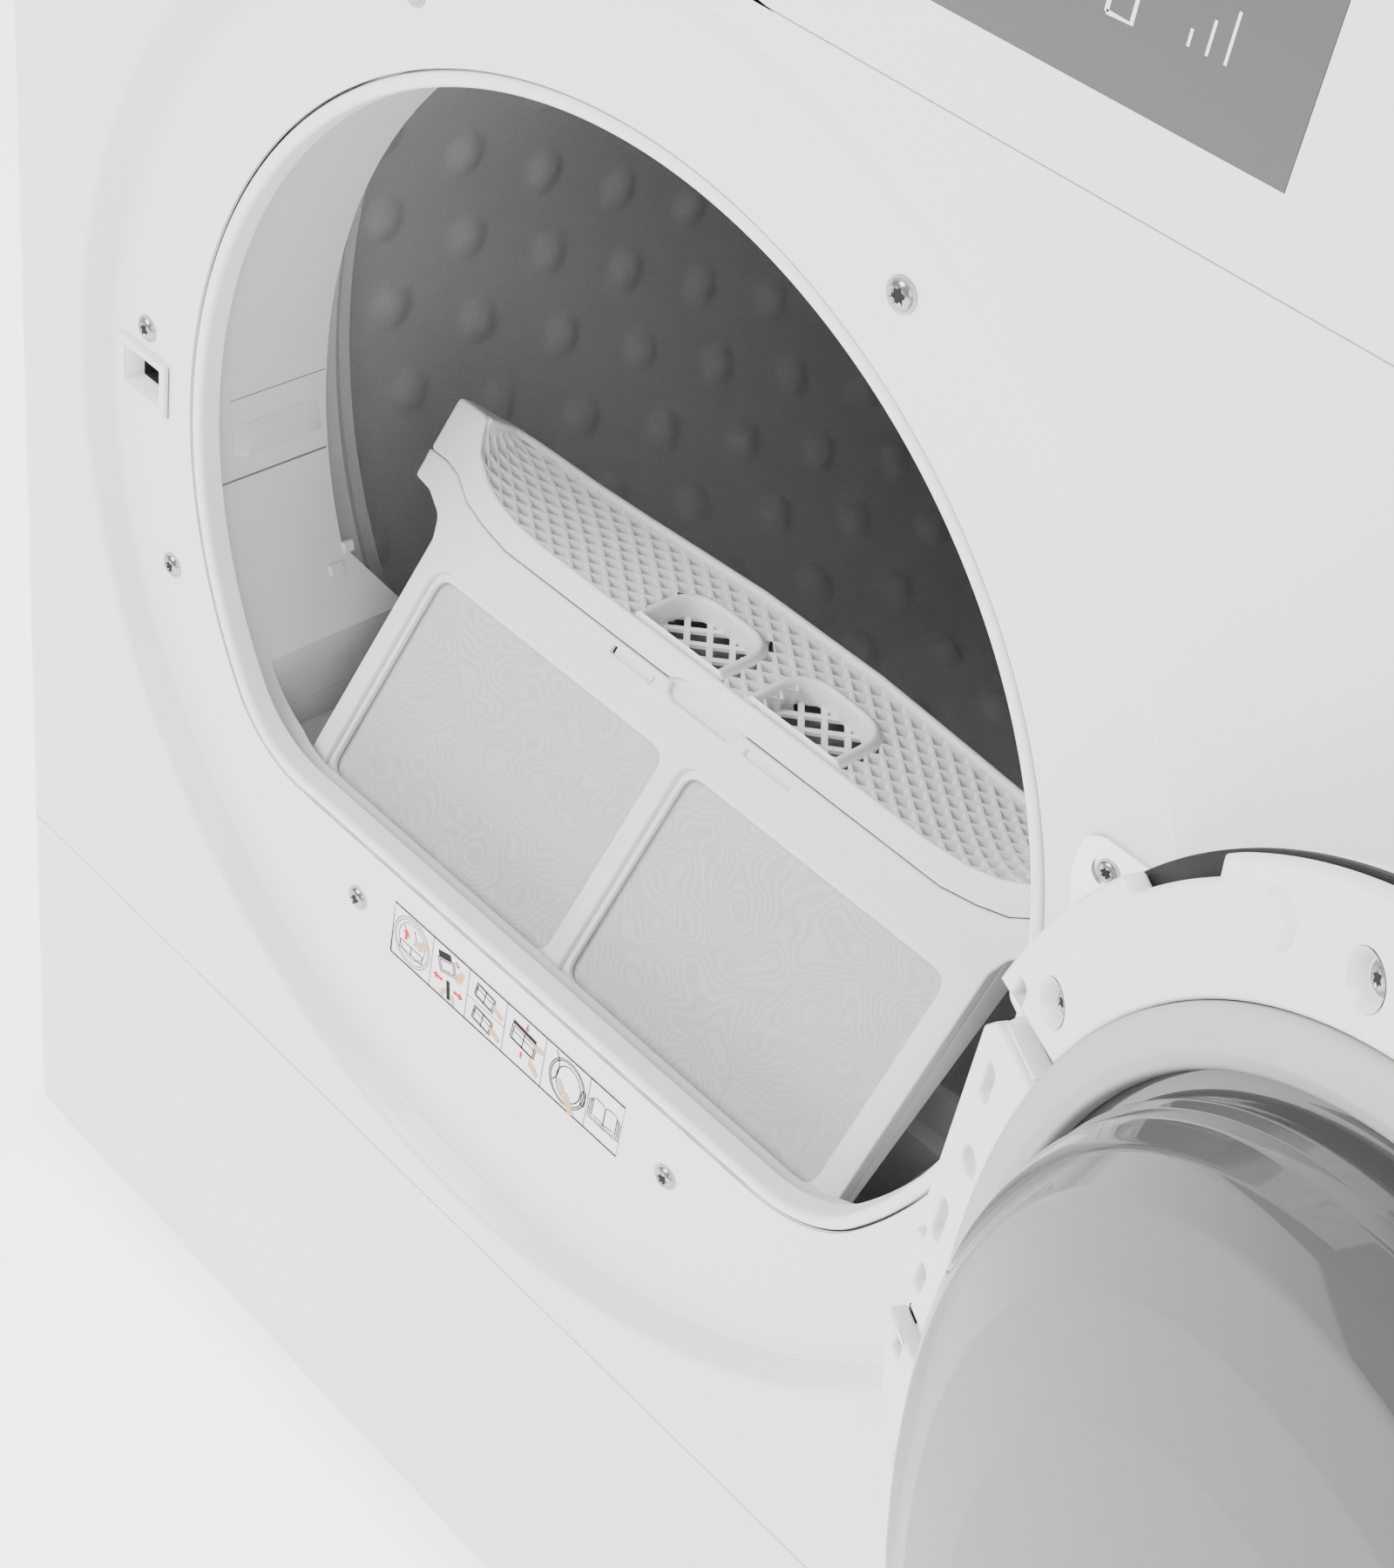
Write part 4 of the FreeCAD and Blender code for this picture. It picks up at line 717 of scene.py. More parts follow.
def thumb_dish():
    """Smooth scoop for a finger across the seam."""
    def point(u, v):
        u, v = 2 * u - 1, 2 * v - 1
        fall = max(0.0, 1 - abs(u) ** 4) * max(0.0, 1 - v * v)
        return (-1.5 + 19.5 * u, 102.2 + 6.2 * v, 1.2 + 3.2 * fall ** 0.7)

    thing = sheet("filter_thumb_dish", point, 33, 17, "filter_plastic", "lint_filter", FILTER)
    thick = thing.modifiers.new("thickness", "SOLIDIFY")
    thick.thickness = SHEET * MM
    thick.offset = -1


BACK_EDGE = [(0, 47.4, 142.8), (30, 47.4, 142.8), (60, 47.6, 141.2), (90, 47.4, 139.6), (115, 42.0, 139.2),
             (140, 30.0, 140.6), (149, 23.5, 141.0), (158, 15.0, 141.0), (165.3, 6.5, 141.0)]


def back_edge(x):
    """Distance back and height of the head's rear edge, which tapers towards the ears."""
    xs = [p[0] for p in BACK_EDGE]
    return tuple(float(np.interp(abs(x), xs, [p[k] for p in BACK_EDGE])) for k in (1, 2))


def head():
    """Rear half's head: front band with ears, and the tapered rear wall round the scooped grille."""
    seam = [(x, s + 0.1) for x, s in SEAM]
    radii = [0, 6, 6, 6, 6, 2, 2, 2.5, 6, 6, 6, 6, 6, 6, 10, 0]
    right = soften([(18, 103.6), *seam, (165.5, 141), *RIM[::-1], (0, 113.8)], radii, False, 4)
    notch = [(-21, 103.6), (-18.6, 105.2), (-14.5, 106.6), (12.0, 106.6), (15.6, 105.2)]
    left = [(-x, s) for x, s in right if x > 18.5][::-1]
    band = filter_plate("filter_head_band", [list(right) + left[1:] + notch], 0, 3.2, 1.2, 3, smooth=50)
    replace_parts(band, "filter_rear")
    upright = FILTER @ Matrix(((1, 0, 0, 0), (0, 0, 1, 0), (0, 1, 0, 0), (0, 0, 0, 1)))
    ear = [(147.6, 1.6), (165.3, 1.6), (165.3, 6.5), (158, 15), (147.6, 24.4)]
    for side, name in ((1, "right"), (-1, "left")):
        loop = soften([(side * x, d) for x, d in ear], [0.5, 2, 2, 3, 0.5], True, 4)
        filter_plate(f"filter_ear_{name}", [loop], 118.2, 141, 1.1, place=upright)
    edge = np.array([(x, back_edge(x)[0]) for x in np.linspace(-164.6, 164.6, 141)])
    for _ in range(3):
        edge[1:-1] = (edge[:-2] + 2 * edge[1:-1] + edge[2:]) / 4
    along = np.gradient(edge, axis=0)
    along /= np.linalg.norm(along, axis=1, keepdims=True)
    inward = np.stack([along[:, 1], -along[:, 0]], 1)
    section = [(0.3, -36), (0, -2.2), (0.5, -0.8), (1.6, -0.1), (3.6, 0), (4.7, -0.7), (5.0, -1.9),
               (4.4, -3.1), (2.6, -3.6), (2.4, -36)]
    points = [[(x + to[0] * o, back_edge(x)[1] + h, d + to[1] * o) for o, h in section]
              for (x, d), to in zip(edge, inward)]
    loft("filter_back_wall", points, "filter_plastic", "lint_filter", FILTER, ends=True, smooth=50)


SLANT = 53


def on_scoop(x, g, t):
    """From the grille's own plane (x, g from rim to rear edge, t outwards) to the filter's frame, in mm."""
    back, top = back_edge(x)
    low = rim_height(x) - 0.4
    run, rise = back - 2.0, top - 1.2 - low
    length = math.hypot(run, rise)
    v = g / SLANT
    return (x, low + rise * v + t * run / length, run * v - t * rise / length)


def off_edge(point, loop, k):
    """Above zero where a point is to the left of a loop's edge k."""
    (ax, ay), (bx, by) = loop[k], loop[(k + 1) % len(loop)]
    return (bx - ax) * (point[1] - ay) - (by - ay) * (point[0] - ax)


def clip_convex(loop, window):
    """The part of a loop inside a convex, anticlockwise window."""
    for k in range(len(window)):
        out = []
        for i, p in enumerate(loop):
            q = loop[i - 1]
            fp, fq = off_edge(p, window, k), off_edge(q, window, k)
            if (fp >= 0) != (fq >= 0):
                t = fq / (fq - fp)
                out.append((q[0] + t * (p[0] - q[0]), q[1] + t * (p[1] - q[1])))
            if fp >= 0:
                out.append(p)
        loop = out
    return loop


def inset(loop, width):
    """A convex, anticlockwise loop moved inwards by a width."""
    out = []
    n = len(loop)
    for k in range(n):
        p, q, r = (np.array(loop[(k + j) % n], float) for j in (-1, 0, 1))
        a, b = q - p, r - q
        la, lb = np.linalg.norm(a), np.linalg.norm(b)
        if la < 1e-6 or lb < 1e-6:
            return None
        na, nb = np.array([-a[1], a[0]]) / la, np.array([-b[1], b[0]]) / lb
        blunt = 1 + float(na @ nb)
        if blunt < 0.05:
            return None
        out.append(tuple(q + (na + nb) * width / blunt))
    return out


def lattice(name, window, pitch_x, pitch_g, bar, t0, t1, keep_out=()):
    """Egg-crate of diamond cells over a convex window of the scoop, open inside the keep-out boxes."""
    verts, faces = [], []
    half_x, half_g = pitch_x / 2, pitch_g / 2
    smallest_hole, smallest_tile = 2, 14

    def put(points, t):
        start = len(verts)
        verts.extend(on_scoop(x, g, t) for x, g in points)
        return start

    (low_x, low_g), (high_x, high_g) = np.min(window, axis=0), np.max(window, axis=0)
    for i in range(int((high_g - low_g) / half_g) + 3):
        for k in range(int((high_x - low_x) / pitch_x) + 3):
            cx, cg = low_x + pitch_x * (k + 0.5 * (i % 2)) - pitch_x, low_g + half_g * i
            if any(x0 < cx < x1 and g0 < cg < g1 for x0, x1, g0, g1 in keep_out):
                continue
            diamond = [(cx + half_x, cg), (cx, cg + half_g), (cx - half_x, cg), (cx, cg - half_g)]
            tile = clip_convex(diamond, window)
            tile = [p for j, p in enumerate(tile) if math.dist(p, tile[j - 1]) > 0.05]
            n = len(tile)
            if n < 3:
                continue
            hole = inset(tile, bar / 2) if signed_area(tile) >= smallest_tile else None
            if hole and signed_area(hole) >= smallest_hole and all(
                    off_edge(p, tile, j) >= 0 for p in hole for j in range(n)):
                rounded = inset(tile, bar / 2 * 0.8) or hole
                rings = [put(tile, t0), put(rounded, t0), put(hole, t0 - 0.3), put(hole, t1), put(tile, t1)]
                for first, second in zip(rings, rings[1:]):
                    pairs = [(j, (j + 1) % n) for j in range(n)]
                    faces += [(first + j, first + m, second + m, second + j) for j, m in pairs]
            else:
                top, low = put(tile, t0), put(tile, t1)
                faces += [tuple(top + j for j in range(n)), tuple(low + j for j in range(n))[::-1]]
    return add(name, moved(np.array(verts) * MM, FILTER), faces, "filter_plastic", "lint_filter", smooth=30)


FINGERS = ((-43.5, -7.5), (14.5, 50.5))


def grille():
    """Scooped inlet of deep diamond cells, with two arched finger collars over a wider lattice."""
    window = [(-148.5, 0.4), (148.5, 0.4), (148.5, 51), (-148.5, 51)]
    keep_out = [(x0 - 1.5, x1 + 1.5, -3, 30.5) for x0, x1 in FINGERS]
    lattice("filter_grille", window, 10.4, 8.4, 1.35, 0.0, -9.5, keep_out)
    levels = [(5.4, -0.6), (5.2, 0.15), (4.4, 0.25), (4.0, 0.9), (3.4, 1.9), (2.5, 2.3), (1.5, 1.8),
              (0.8, 0.3), (0.3, -3.0), (0.5, -7.2)]
    for k, (x0, x1) in enumerate(FINGERS):
        loops = [[on_scoop(x, g, t) for x, g in finger_loop(x0, x1, grow)] for grow, t in levels]
        loft(f"filter_finger_collar_{k + 1}", loops, "filter_plastic", "lint_filter", FILTER, smooth=70)
    lattice("filter_deep_lattice", [(-72, 1), (92, 1), (92, 46), (-72, 46)], 11.8, 12.4, 2.3, -6.4, -8.2)
    # Painted shade: a grey sheet under the grille, so its cells look dark inside.
    sheet("filter_bag_shadow", lambda u, v: on_scoop(-136 + 272 * u, 4 + 42 * v, -12.6), 20, 3, BAG_SHADE,
          "lint_filter", FILTER, slot="filter_screen")


def finger_loop(x0, x1, grow):
    """Outline of a finger opening, straight at the rim and arched behind, made larger by grow."""
    front = 2.8 - 0.25 * min(grow, 3.0)
    return soften([(x0 - grow, front), (x1 + grow, front), (x1 + grow, 28.5 + grow), (x0 - grow, 28.5 + grow)],
                  [1.2, 1.2, 13.5 + grow, 13.5 + grow], True, 10)


def filter_bag():
    """Rear half's wedge: side walls, a back frame and its bars."""
    wedge = soften([(8.3, -22), (11.6, -22), (27.0, 96), (28.0, 108), (8.3, 104)], [1, 2, 2, 2, 2], True, 4)
    for side, x in (("right", 140.0), ("left", -143.2)):
        place = FILTER @ Matrix(((0, 0, 1, x * MM), (0, 1, 0, 0), (1, 0, 0, 0), (0, 0, 0, 1)))
        filter_plate(f"filter_bag_side_{side}", [wedge], 0, 3.2, 0.8, place=place)
    slope = math.atan2(44.8 - 11.6, 128)
    tilt = FILTER @ Matrix.Translation((0, -22 * MM, 11.0 * MM)) @ Matrix.Rotation(slope, 4, "X")
    outline = soften([(-142, 0), (142, 0), (119, 124), (-119, 124)], [3, 3, 6, 6], True, 4)
    openings = [soften([(x0, 8), (x1, 8), (x2, 112), (x3, 112)], 8, True, 4)
                for x0, x1, x2, x3 in ((4, 133, 113, 4), (-133, -4, -4, -113))]
    filter_plate("filter_bag_back", [outline, *openings], -1.6, 0.6, 0.6, place=tilt)
    return tilt


def screen(name, x0, x1, s0, s1, place, z):
    """Slack woven screen, faintly wavy."""
    nu, nv = 60, 44
    u, v = np.linspace(0, 1, nu), np.linspace(0, 1, nv)
    uu, vv = np.meshgrid(u, v, indexing="ij")
    hem = np.minimum(1, 8 * np.minimum.reduce([uu, 1 - uu, vv, 1 - vv]))
    sag = 0.35 * np.sin(9 * uu + 2.2 * np.sin(5 * vv)) * np.sin(7 * vv + 1.3) * hem
    low = np.stack([x0 + (x1 - x0) * uu, s0 + (s1 - s0) * vv, z + sag], -1)
    points = np.concatenate([low, (low + np.array([0, 0, 0.4]))[:, ::-1]], 1)
    return loft(name, points, "filter_screen", "lint_filter", place, ends=True, smooth=60)


filter_frame()
thumb_dish()
head()
grille()
bag_place = filter_bag()
front_screen = screen("filter_screen_right", 3.5, 134, -13.6, 82.6, FILTER, 5.6)
screen("filter_screen_left", -134, -3.5, -13.6, 82.6, FILTER, 5.6)
screen("filter_screen_back_right", 3, 118, 6, 114, bag_place, -0.8)
screen("filter_screen_back_left", -118, -3, 6, 114, bag_place, -0.8)
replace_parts(front_screen, "filter_meshes")


# ------------------------------------------------------------------ door

DOOR = OPENED @ PORTHOLE
DOOR_SCREWS = (30, 67, 118, 150, 210, 242, 293, 330)
SEAT_CIRCLE = 222
BAND_ENDS = (73.3, -253.4)


def door_plate(name, loops, d0, d1, edge, rings=2, **more):
    return plate(name, loops, d0, d1, edge, "white_plastic", "door", DOOR, rings, **more)


def turned(name, centre, profile, smooth):
    """Small round moulding on the ring, from (radius, distance behind the front) points."""
    turn = np.linspace(0, FULL_TURN, 40, endpoint=False)
    loops = [[(centre[0] + r * math.cos(t), centre[1] + r * math.sin(t), d) for t in turn] for r, d in profile]
    loft(name, loops, "white_plastic", "door", DOOR, smooth=smooth)


def door_ring():
    """White inner moulding with screw seats, slots, a stepped hinge block and a finger grip at its edge."""
    outer = [on_clock(235.2 if 43.5 < a < 54 else 240.2, a) for a in np.arange(*BAND_ENDS, -0.75)]
    inner = [on_clock(209, a) for a in np.arange(109.3, 430.7, 2.0)]
    seats = [circle(*on_clock(SEAT_CIRCLE, a), 6.0) for a in DOOR_SCREWS]
    slots = [block(217.0, 221.6, 71.4, 78.4, 1.0), block(217.0, 221.6, -78.4, -71.4, 1.0)]
    ring = door_plate("door_ring_face", [outer + inner, *seats, *slots], 2.8, 9.5, 1.7, 4, smooth=60)
    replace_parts(ring, "door_inner_ring")
    collar = [(212, 5.4), (209.2, 5.6), (205, 5.6), (205, 1.9), (209, 1.9), (209, -28), (212, -28)]
    lathe("door_ring_collar", collar, "white_plastic", "door", 0.5, OPENED)
    floor = [on_clock(235, a) for a in np.arange(73, -253.0, -2)]
    floor += [on_clock(210, a) for a in np.arange(109.5, 430.5, 2)]
    door_plate("door_ring_floor", [floor], 2.0, 2.6, 0.1)
    hinge_block()
    for k, z in enumerate((58.9, -60.0)):
        door_plate(f"door_gap_rib_{k + 1}", [block(203, 222, z, z + 1.1, 0.4)], 1.0, 7.6, 0.4)
    heads = []
    seat = [(6.6, 9.45), (5.9, 8.7), (5.1, 7.6), (4.7, 5.6), (0.02, 5.5)]
    for k, angle in enumerate(DOOR_SCREWS):
        x, z = on_clock(SEAT_CIRCLE, angle)
        turned(f"door_seat_{k + 1}", (x, z), seat, 60)
        spot = DOOR @ Matrix.Translation((x * MM, z * MM, 5.8 * MM)) @ Matrix.Rotation(math.pi, 4, "X")
        heads.append(star_screw(f"door_screw_{k + 1}", spot, "door", 0.78))
    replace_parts(heads[0], "door_screws")
    dome = [(7.0, 9.3), (6.4, 9.8), (5.4, 10.7), (4.0, 11.3), (2.0, 11.6), (0.02, 11.65)]
    turned("door_buffer", on_clock(228, 38.0), dome, 80)


def hinge_block():
    """Raised block beside the hinge with its pockets, the arm below it and the round knuckle."""
    radius, half = 209.6, 57.5
    end = math.asin(half / radius)
    arc = [(radius * math.cos(t), radius * math.sin(t)) for t in np.linspace(-end, end, 25)]
    edge = [(221, half), (227, 55.5), (231, 50), (231, -27), (225.5, -28.5), (225.5, -33), (231, -34.5),
            (231, -52), (226, -half)]
    pockets = [block(218.4, 223.4, z0, z1, 2.3) for z0, z1 in ((32, 44.5), (-26.5, -11), (-50, -40))]
    loops = [arc + soften(edge, 1.2, False, 3), *pockets, circle(217, 11, 4.2)]
    door_plate("door_hinge_block", loops, 3.4, 8.6, 1.2, 4, smooth=60)
    arm = arc + [(226, half), (230.5, 50), (230.5, -52), (226, -half)]
    door_plate("door_hinge_arm", [arm], -21, 3.6, 0.8)
    knuckle = [(HINGE.x, HINGE.y, PORT_Z + z * MM) for z in np.linspace(-59.5, 59.5, 12)]
    tube("door_hinge_knuckle", knuckle, 7.9 * MM, "white_plastic", "door", OPENED, sides=48)


def door_soft_parts():
    section = [(193.7, 5.9), (208.7, 5.9), (208.7, 10.4), (204.5, 11.7), (198, 11.7), (193.7, 10.2)]
    seal = lathe("door_seal", section, "gasket_rubber", "door", [0.4, 0.4, 2.2, 4, 3, 2.4], OPENED, smooth=60)
    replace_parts(seal, "door_gasket")


def door_glass():
    """Glass bowl with a beaded shoulder, sloped off towards the lint filter."""
    outer = [(203.2, 2.2), (203.2, 5.6), (188.4, 5.8), (188.0, 12), (188.2, 15.5), (186.2, 18.0), (185.0, 23),
             (180, 30.5), (170, 36.0), (150, 39.6), (122, 41.2), (70, 41.6), (0.3, 41.6)]
    inner = [(0.3, 38.0), (70, 37.9), (120, 37.4), (148, 35.8), (166, 32.6), (176, 27.5), (181, 21), (184, 12),
             (184.2, 2.2)]
    outside = soften(outer, [0, 1, 2, 3, 1.6, 2, 5, 8, 10, 14, 20, 20, 0], False, 5)
    inside = soften(inner, 5, False, 4)
    rim_depth, slope_start, slope_depth, wall = 8, -124, 7.3, 3.6
    loops = []
    for k, (r, d) in enumerate(outside + inside):
        within = k >= len(outside)
        ring = []
        for t in np.linspace(0, FULL_TURN, 256, endpoint=False):
            x, z = r * math.sin(t), r * math.cos(t)
            limit = slope_depth + max(0.0, z - slope_start) * math.tan(LEAN) - (wall if within else 0)
            if d > rim_depth:
                blend = max(0.0, 1 - abs(d - limit) / 5.0)
                depth = min(d, limit) - 0.3 * blend * blend
            else:
                depth = min(d, 3.0) if within else d
            ring.append((x, z, depth))
        loops.append(ring)
    bowl = loft("door_glass_bowl", loops, "bowl_glass", "door", DOOR, closed=True, smooth=60)
    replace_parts(bowl, "door_bowl")


def door_trim_band():
    """Dark band round the door's edge, open at the hinge."""
    band = [(231, -0.6), (240.4, -0.6), (240.9, 0.2), (240.9, 2.0), (240.4, 2.7), (231, 2.7)]
    section = soften(band, 0.4, True, 3)
    loops = [[(*on_clock(r, a), d) for r, d in section] for a in np.arange(*BAND_ENDS, -0.75)]
    trim = loft("door_trim_band", loops, "dark_trim", "door", DOOR, ends=True, smooth=50)
    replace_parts(trim, "door_trim")


door_ring()
door_soft_parts()
door_glass()
door_trim_band()


# ------------------------------------------------------------------ label, symbols and marks

def ribbons(name, lines, width, look, place, slot, d):
    """Thin printed lines: each a list of (x, y) points in mm, drawn as flat strips."""
    verts, faces = [], []
    for line in lines:
        pts = np.array(line, float)
        ahead = np.gradient(pts, axis=0)
        ahead /= np.maximum(np.linalg.norm(ahead, axis=1, keepdims=True), 1e-9)
        side = np.stack([-ahead[:, 1], ahead[:, 0]], 1) * width / 2
        for k, (q, w) in enumerate(zip(pts, side)):
            verts += [(*(q + w), d), (*(q - w), d)]
            if k:
                n = len(verts)
                faces.append((n - 4, n - 3, n - 1, n - 2))
    return add(name, moved(np.array(verts) * MM, place), faces, look, "cabinet", slot, weld=False)


def patches(name, loops, look, place, slot, d):
    verts, faces = [], []
    for loop in loops:
        faces.append(tuple(range(len(verts), len(verts) + len(loop))))
        verts += [(x, y, d) for x, y in loop]
    return add(name, moved(np.array(verts) * MM, place), faces, look, "cabinet", slot, weld=False)


def ellipse(cx, cy, rx, ry, a0=0, a1=360, count=36):
    return [(cx + rx * math.cos(t), cy + ry * math.sin(t)) for t in np.radians(np.linspace(a0, a1, count))]


def closed(loop):
    return list(loop) + [loop[0]]


def turned_loop(loop, cx, cy, degrees):
    a = math.radians(degrees)
    return [(cx + x * math.cos(a) - y * math.sin(a), cy + x * math.sin(a) + y * math.cos(a)) for x, y in loop]


ARROW = [(-3, -0.8), (0.6, -0.8), (0.6, -2.1), (3.4, 0), (0.6, 2.1), (0.6, 0.8), (-3, 0.8)]
MITTEN = [(-6, -1.5), (-1, -2.0), (3.2, -1.6), (4.2, -0.4), (3.4, 0.4), (1.6, 0.5), (2.2, 1.7), (1.2, 2.4),
          (-1, 1.9), (-6, 1.7)]


def arrow(cx, cy, degrees, size=1.0):
    return turned_loop([(x * size, y * size) for x, y in ARROW], cx, cy, degrees)


def hand(cx, cy, degrees, size=1.0):
    return turned_loop(soften([(x * size, y * size) for x, y in MITTEN], 0.7, True, 3), cx, cy, degrees)


def oblong(cx, cy, half_x, half_y, degrees, radius=0.3):
    """Rounded oblong, turned about its own middle."""
    return turned_loop(block(-half_x, half_x, -half_y, half_y, radius), cx, cy, degrees)


def screen_sign(cx, cz, frames, cross, degrees):
    """Outlines of a framed screen and the cross of bars in it."""
    signs = [closed(oblong(cx, cz + rise, half_x, half_y, degrees, radius))
             for half_x, half_y, radius, rise in frames]
    return signs + [turned_loop(line, cx, cz, degrees) for line in cross]


def pictograms():
    """Label of six pictures: lift the filter, open it, brush it, wipe it, clean the door, read the book."""
    x0, x1, z0, z1 = -64.6, 62.6, -173.1, -146.9
    cuts = [-42.0, -21.4, -0.3, 21.3, 45.0]
    grey = [[(x, z0), (x, z1)] for x in cuts]
    red, sand, dark, lines = [], [], [], []
    cz = -160

    cx = -53.5
    grey += [ellipse(cx, cz, 10.2, 11.8), ellipse(cx, cz + 0.5, 7.4, 8.6), ellipse(cx, cz, 9.2, 10.6)]
    lines += [closed(oblong(cx, cz - 4.6, 6.5, 2.0, 0, 0.5)), [(cx, cz - 6.4), (cx, cz - 2.6)]]
    lines += [[(cx - 5, cz + 6), (cx - 1.5, cz + 1)], [(cx + 1, cz + 7), (cx + 2.4, cz + 2)]]
    red.append(arrow(cx - 3.4, cz + 1.8, 90, 0.85))
    sand.append(hand(cx + 4.4, cz + 1.6, 215, 0.95))

    cx = -31.7
    dark += [oblong(cx - 3.4, cz + 8.4, 3.6, 1.7, 18), oblong(cx + 0.3, cz - 7.0, 1.0, 4.6, 8)]
    lines += screen_sign(cx - 1.6, cz + 4.0, [(4.6, 3.4, 0.3, 0), (3.6, 2.4, 0.3, 0)], [], 18)
    red += [arrow(cx + 3.6, cz + 9.2, -40, 0.5), arrow(cx - 5.8, cz - 4.4, 180, 0.85)]
    red.append(arrow(cx + 5.8, cz - 5.2, 0, 0.85))
    sand += [hand(cx + 5.4, cz + 3.0, 250, 0.8), hand(cx - 2.2, cz - 9.4, 70, 0.55)]
    sand.append(hand(cx + 3.0, cz - 9.6, 110, 0.5))

    cx = -10.8
    frames = [(5.2, 3.6, 0.3, 0), (4.5, 2.9, 0.3, 0)]
    for dz in (5.6, -6.4):
        cross = [[(0, -3.4), (0, 3.4)], [(-5, 0.8), (5, 0.8)]]
        lines += screen_sign(cx - 1.2, cz + dz, frames, cross, -8)
        sand.append(hand(cx + 5.2, cz + dz - 1.6, 155, 0.7))
    grey.append([(cuts[1], cz - 0.4), (cuts[2], cz - 0.4)])

    cx = 10.4
    frames = [(6.6, 4.2, 0.4, 0.2), (5.8, 3.3, 0.3, -0.2)]
    lines += screen_sign(cx - 0.4, cz + 1.4, frames, [[(0, -4), (0, 4)], [(-6, 0.6), (6, 0.6)]], -6)
    dark.append(oblong(cx - 0.2, cz + 6.8, 6.4, 0.7, -6))
    red += [arrow(cx + 0.8, cz + 9.6, -90, 0.55), arrow(cx - 0.6, cz - 6.2, 90, 0.55)]
    sand += [hand(cx + 7.2, cz + 3.6, 190, 0.7), hand(cx + 5.6, cz - 7.0, 140, 0.75)]

    cx = 33.2
    lines += [ellipse(cx + 1.0, cz, 9.4, 11.2), ellipse(cx + 1.0, cz, 8.6, 10.3)]
    lines.append(ellipse(cx + 1.6, cz, 6.4, 8.4))
    lines.append(closed(block(cx + 8.6, cx + 10.6, cz - 4, cz + 3, 0.4)))
    lines.append(ellipse(cx - 9.0, cz + 4, 5, 9, -60, 60, 14))
    sand += [hand(cx + 2.4, cz - 8.2, 120, 0.95), oblong(cx - 1.6, cz - 3.6, 3.4, 1.2, 120, 0.8)]

    cx = 54.0
    page = [(0, -5.2), (-1.6, -4.4), (-4.2, -4.2), (-6.2, -4.8), (-6.2, 4.4), (-4.2, 5.0), (-1.6, 4.8),
            (0, 4.0)]
    for sign in (1, -1):
        lines.append(closed([(cx + sign * x, cz + 0.8 + z) for x, z in page]))
        for w in (0.9, 1.8):
            corner = cx + sign * (6.2 + w)
            lines.append([(cx + sign * 6.2, cz + 5.2 - w), (corner, cz + 5.2 - w), (corner, cz - 4.0 - w),
                          (cx, cz - 4.4 - w)])

    border = [closed([(x0, z0), (x1, z0), (x1, z1), (x0, z1)])]
    for name, drawn, width, ink, depth in (("outline", border, 0.9, INK_BLACK, 11.7),
                                           ("dividers", grey, 0.42, INK_GREY, 11.71),
                                           ("drawings", lines, 0.48, INK_BLACK, 11.69)):
        ribbons(f"label_{name}", drawn, width, ink, PORTHOLE, "label_film", depth)
    for name, drawn, ink, depth in (("hands", sand, INK_SAND, 11.68), ("dark_shapes", dark, INK_BLACK, 11.67),
                                    ("arrows", red, INK_RED, 11.65)):
        patches(f"label_{name}", drawn, ink, PORTHOLE, "label_film", depth)


def middle(node):
    """Middle of a node's front in mm, and half its width and height."""
    low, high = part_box(node)
    return ((low.x + high.x) / 2 / MM, (low.z + high.z) / 2 / MM,
            (high.x - low.x) / 2 / MM, (high.z - low.z) / 2 / MM)


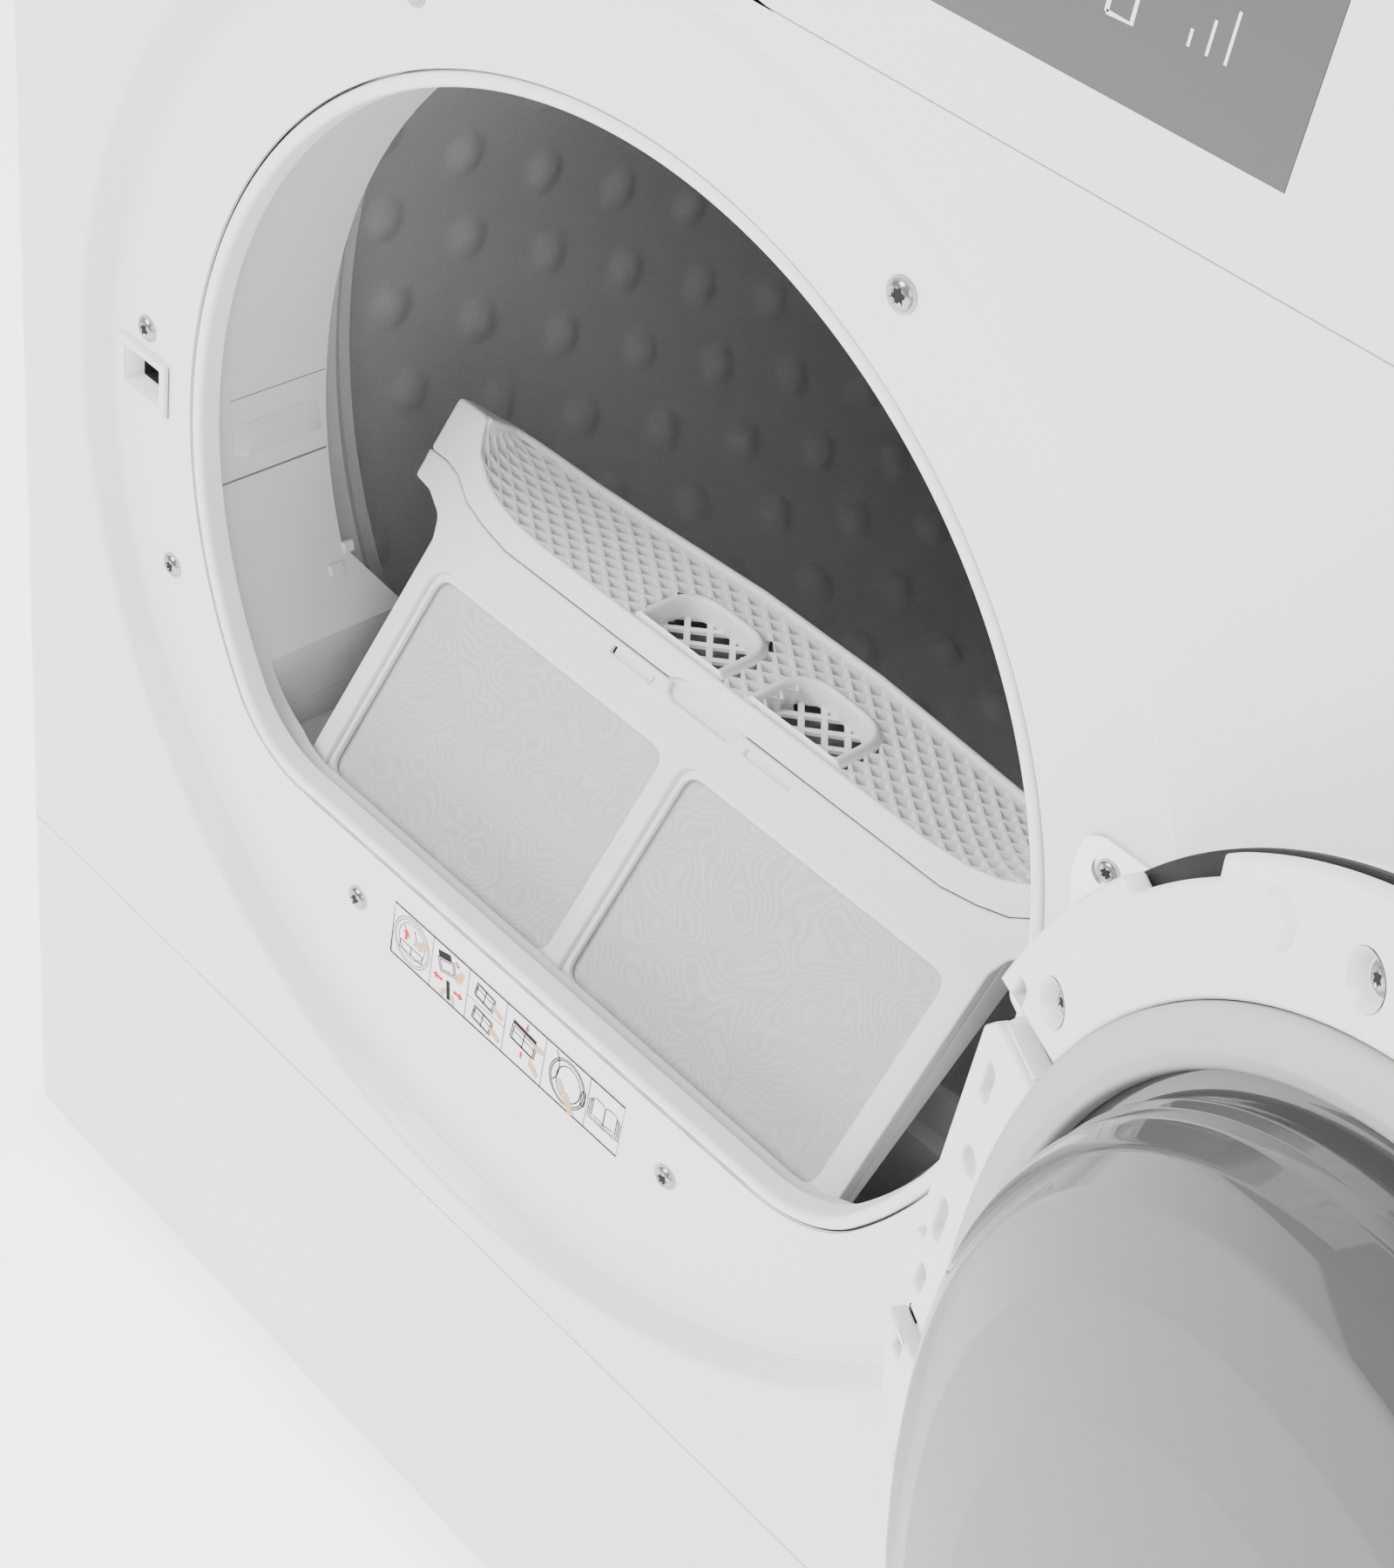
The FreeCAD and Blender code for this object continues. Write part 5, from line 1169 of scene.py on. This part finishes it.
def fascia_marks():
    """Generic marks only: ticks round the knob, plain signs over the buttons and in the display."""
    kx, kz, radius, _ = middle("programme_knob")
    ticks = []
    for k in range(16):
        ends = [on_clock(r, 22.5 * k) for r in (radius + 3, radius + (6.5 if k % 4 else 8.5))]
        ticks.append([(kx + x, kz + z) for x, z in ends])
    ribbons("knob_ticks", ticks, 0.7, SYMBOL, FRONTAL, "white_plastic", -0.06)
    cx, cz, _, _ = middle("display_window")
    clock = cx - 44
    signs = [ellipse(clock, cz, 6, 6), [(clock, cz), (clock, cz + 4.4)], [(clock, cz), (clock + 3.2, cz)]]
    for k in range(3):
        signs.append([(cx + 34 + 5 * k, cz - 5), (cx + 34 + 5 * k, cz - 5 + 4 * (k + 1))])
    digits = [closed([(x, cz - 6.5), (x + 7, cz - 6.5), (x + 7, cz + 6.5), (x, cz + 6.5)])
              for x in (cx - 16, cx - 4, cx + 12)]
    colon = [circle(cx + 7.4, cz + rise, 0.8, 12) for rise in (2.6, -2.6)]
    ribbons("display_signs", signs, 0.8, GLOW, FRONTAL, "display_glass", -0.08)
    ribbons("display_digits", digits, 1.2, GLOW, FRONTAL, "display_glass", -0.08)
    patches("display_colon", colon, GLOW, FRONTAL, "display_glass", -0.08)
    x, z, _, half = middle("start_button")
    z += half + 5
    signs = [closed([(x - 2, z - 2.4), (x + 2.6, z), (x - 2, z + 2.4)])]
    x, z, _, half = middle("option_button")
    signs.append(ellipse(x, z + half + 5, 2.4, 2.4))
    ribbons("button_signs", signs, 0.6, SYMBOL, FRONTAL, "white_plastic", -0.06)


pictograms()
fascia_marks()


# ------------------------------------------------------------------ stage, camera, light

def stage_and_light():
    floor = bpy.data.meshes.new("floor")
    floor.from_pydata([(-6, -6, 0), (6, -6, 0), (6, 6, 0), (-6, 6, 0)], [], [(0, 1, 2, 3)])
    thing = linked("floor", floor)
    pale, _, shader = node_material("floor_pale", (0.95, 0.95, 0.95), 0.8)
    set_inputs(shader, Emission_Color=(1, 1, 1, 1), Emission_Strength=2.2)
    floor.materials.append(pale)
    world = bpy.data.worlds.new("studio")
    bpy.context.scene.world = world
    world.use_nodes = True
    set_inputs(world.node_tree.nodes["Background"], Color=(1, 1, 1, 1), Strength=0.70)
    lights = (("key", (-0.9, -1.9, 2.3), 1.3, 100), ("fill", (1.9, -1.6, 1.6), 1.4, 24),
              ("top", (0.2, 0.4, 2.8), 1.6, 46))
    for name, place, size, power in lights:
        data = bpy.data.lights.new(name, "AREA")
        data.shape = "SQUARE"
        data.size = size
        data.energy = power
        lamp = linked(name, data)
        lamp.location = place
        aim = Vector((0, FRONT, PORT_Z)) - Vector(place)
        lamp.rotation_mode = "QUATERNION"
        lamp.rotation_quaternion = aim.to_track_quat("-Z", "Y")


def make_camera():
    data = bpy.data.cameras.new("camera")
    data.lens = 56.73
    data.sensor_width = 36.0
    data.clip_start = 0.02
    data.clip_end = 50
    camera = linked("camera", data)
    azimuth, elevation, roll = math.radians(37.8), math.radians(40.6), math.radians(11.7)
    level = math.cos(elevation)
    back = Vector((math.sin(azimuth) * level, -math.cos(azimuth) * level, math.sin(elevation)))
    right = Vector((math.cos(azimuth), math.sin(azimuth), 0))
    up = back.cross(right)
    across = right * math.cos(roll) + up * math.sin(roll)
    upward = up * math.cos(roll) - right * math.sin(roll)
    columns = (across, upward, back, Vector((0.4225, -0.7497, 0.9789)))
    camera.matrix_world = Matrix([[column[k] for column in columns] for k in range(3)] + [(0, 0, 0, 1)])
    bpy.context.scene.camera = camera


stage_and_light()
make_camera()
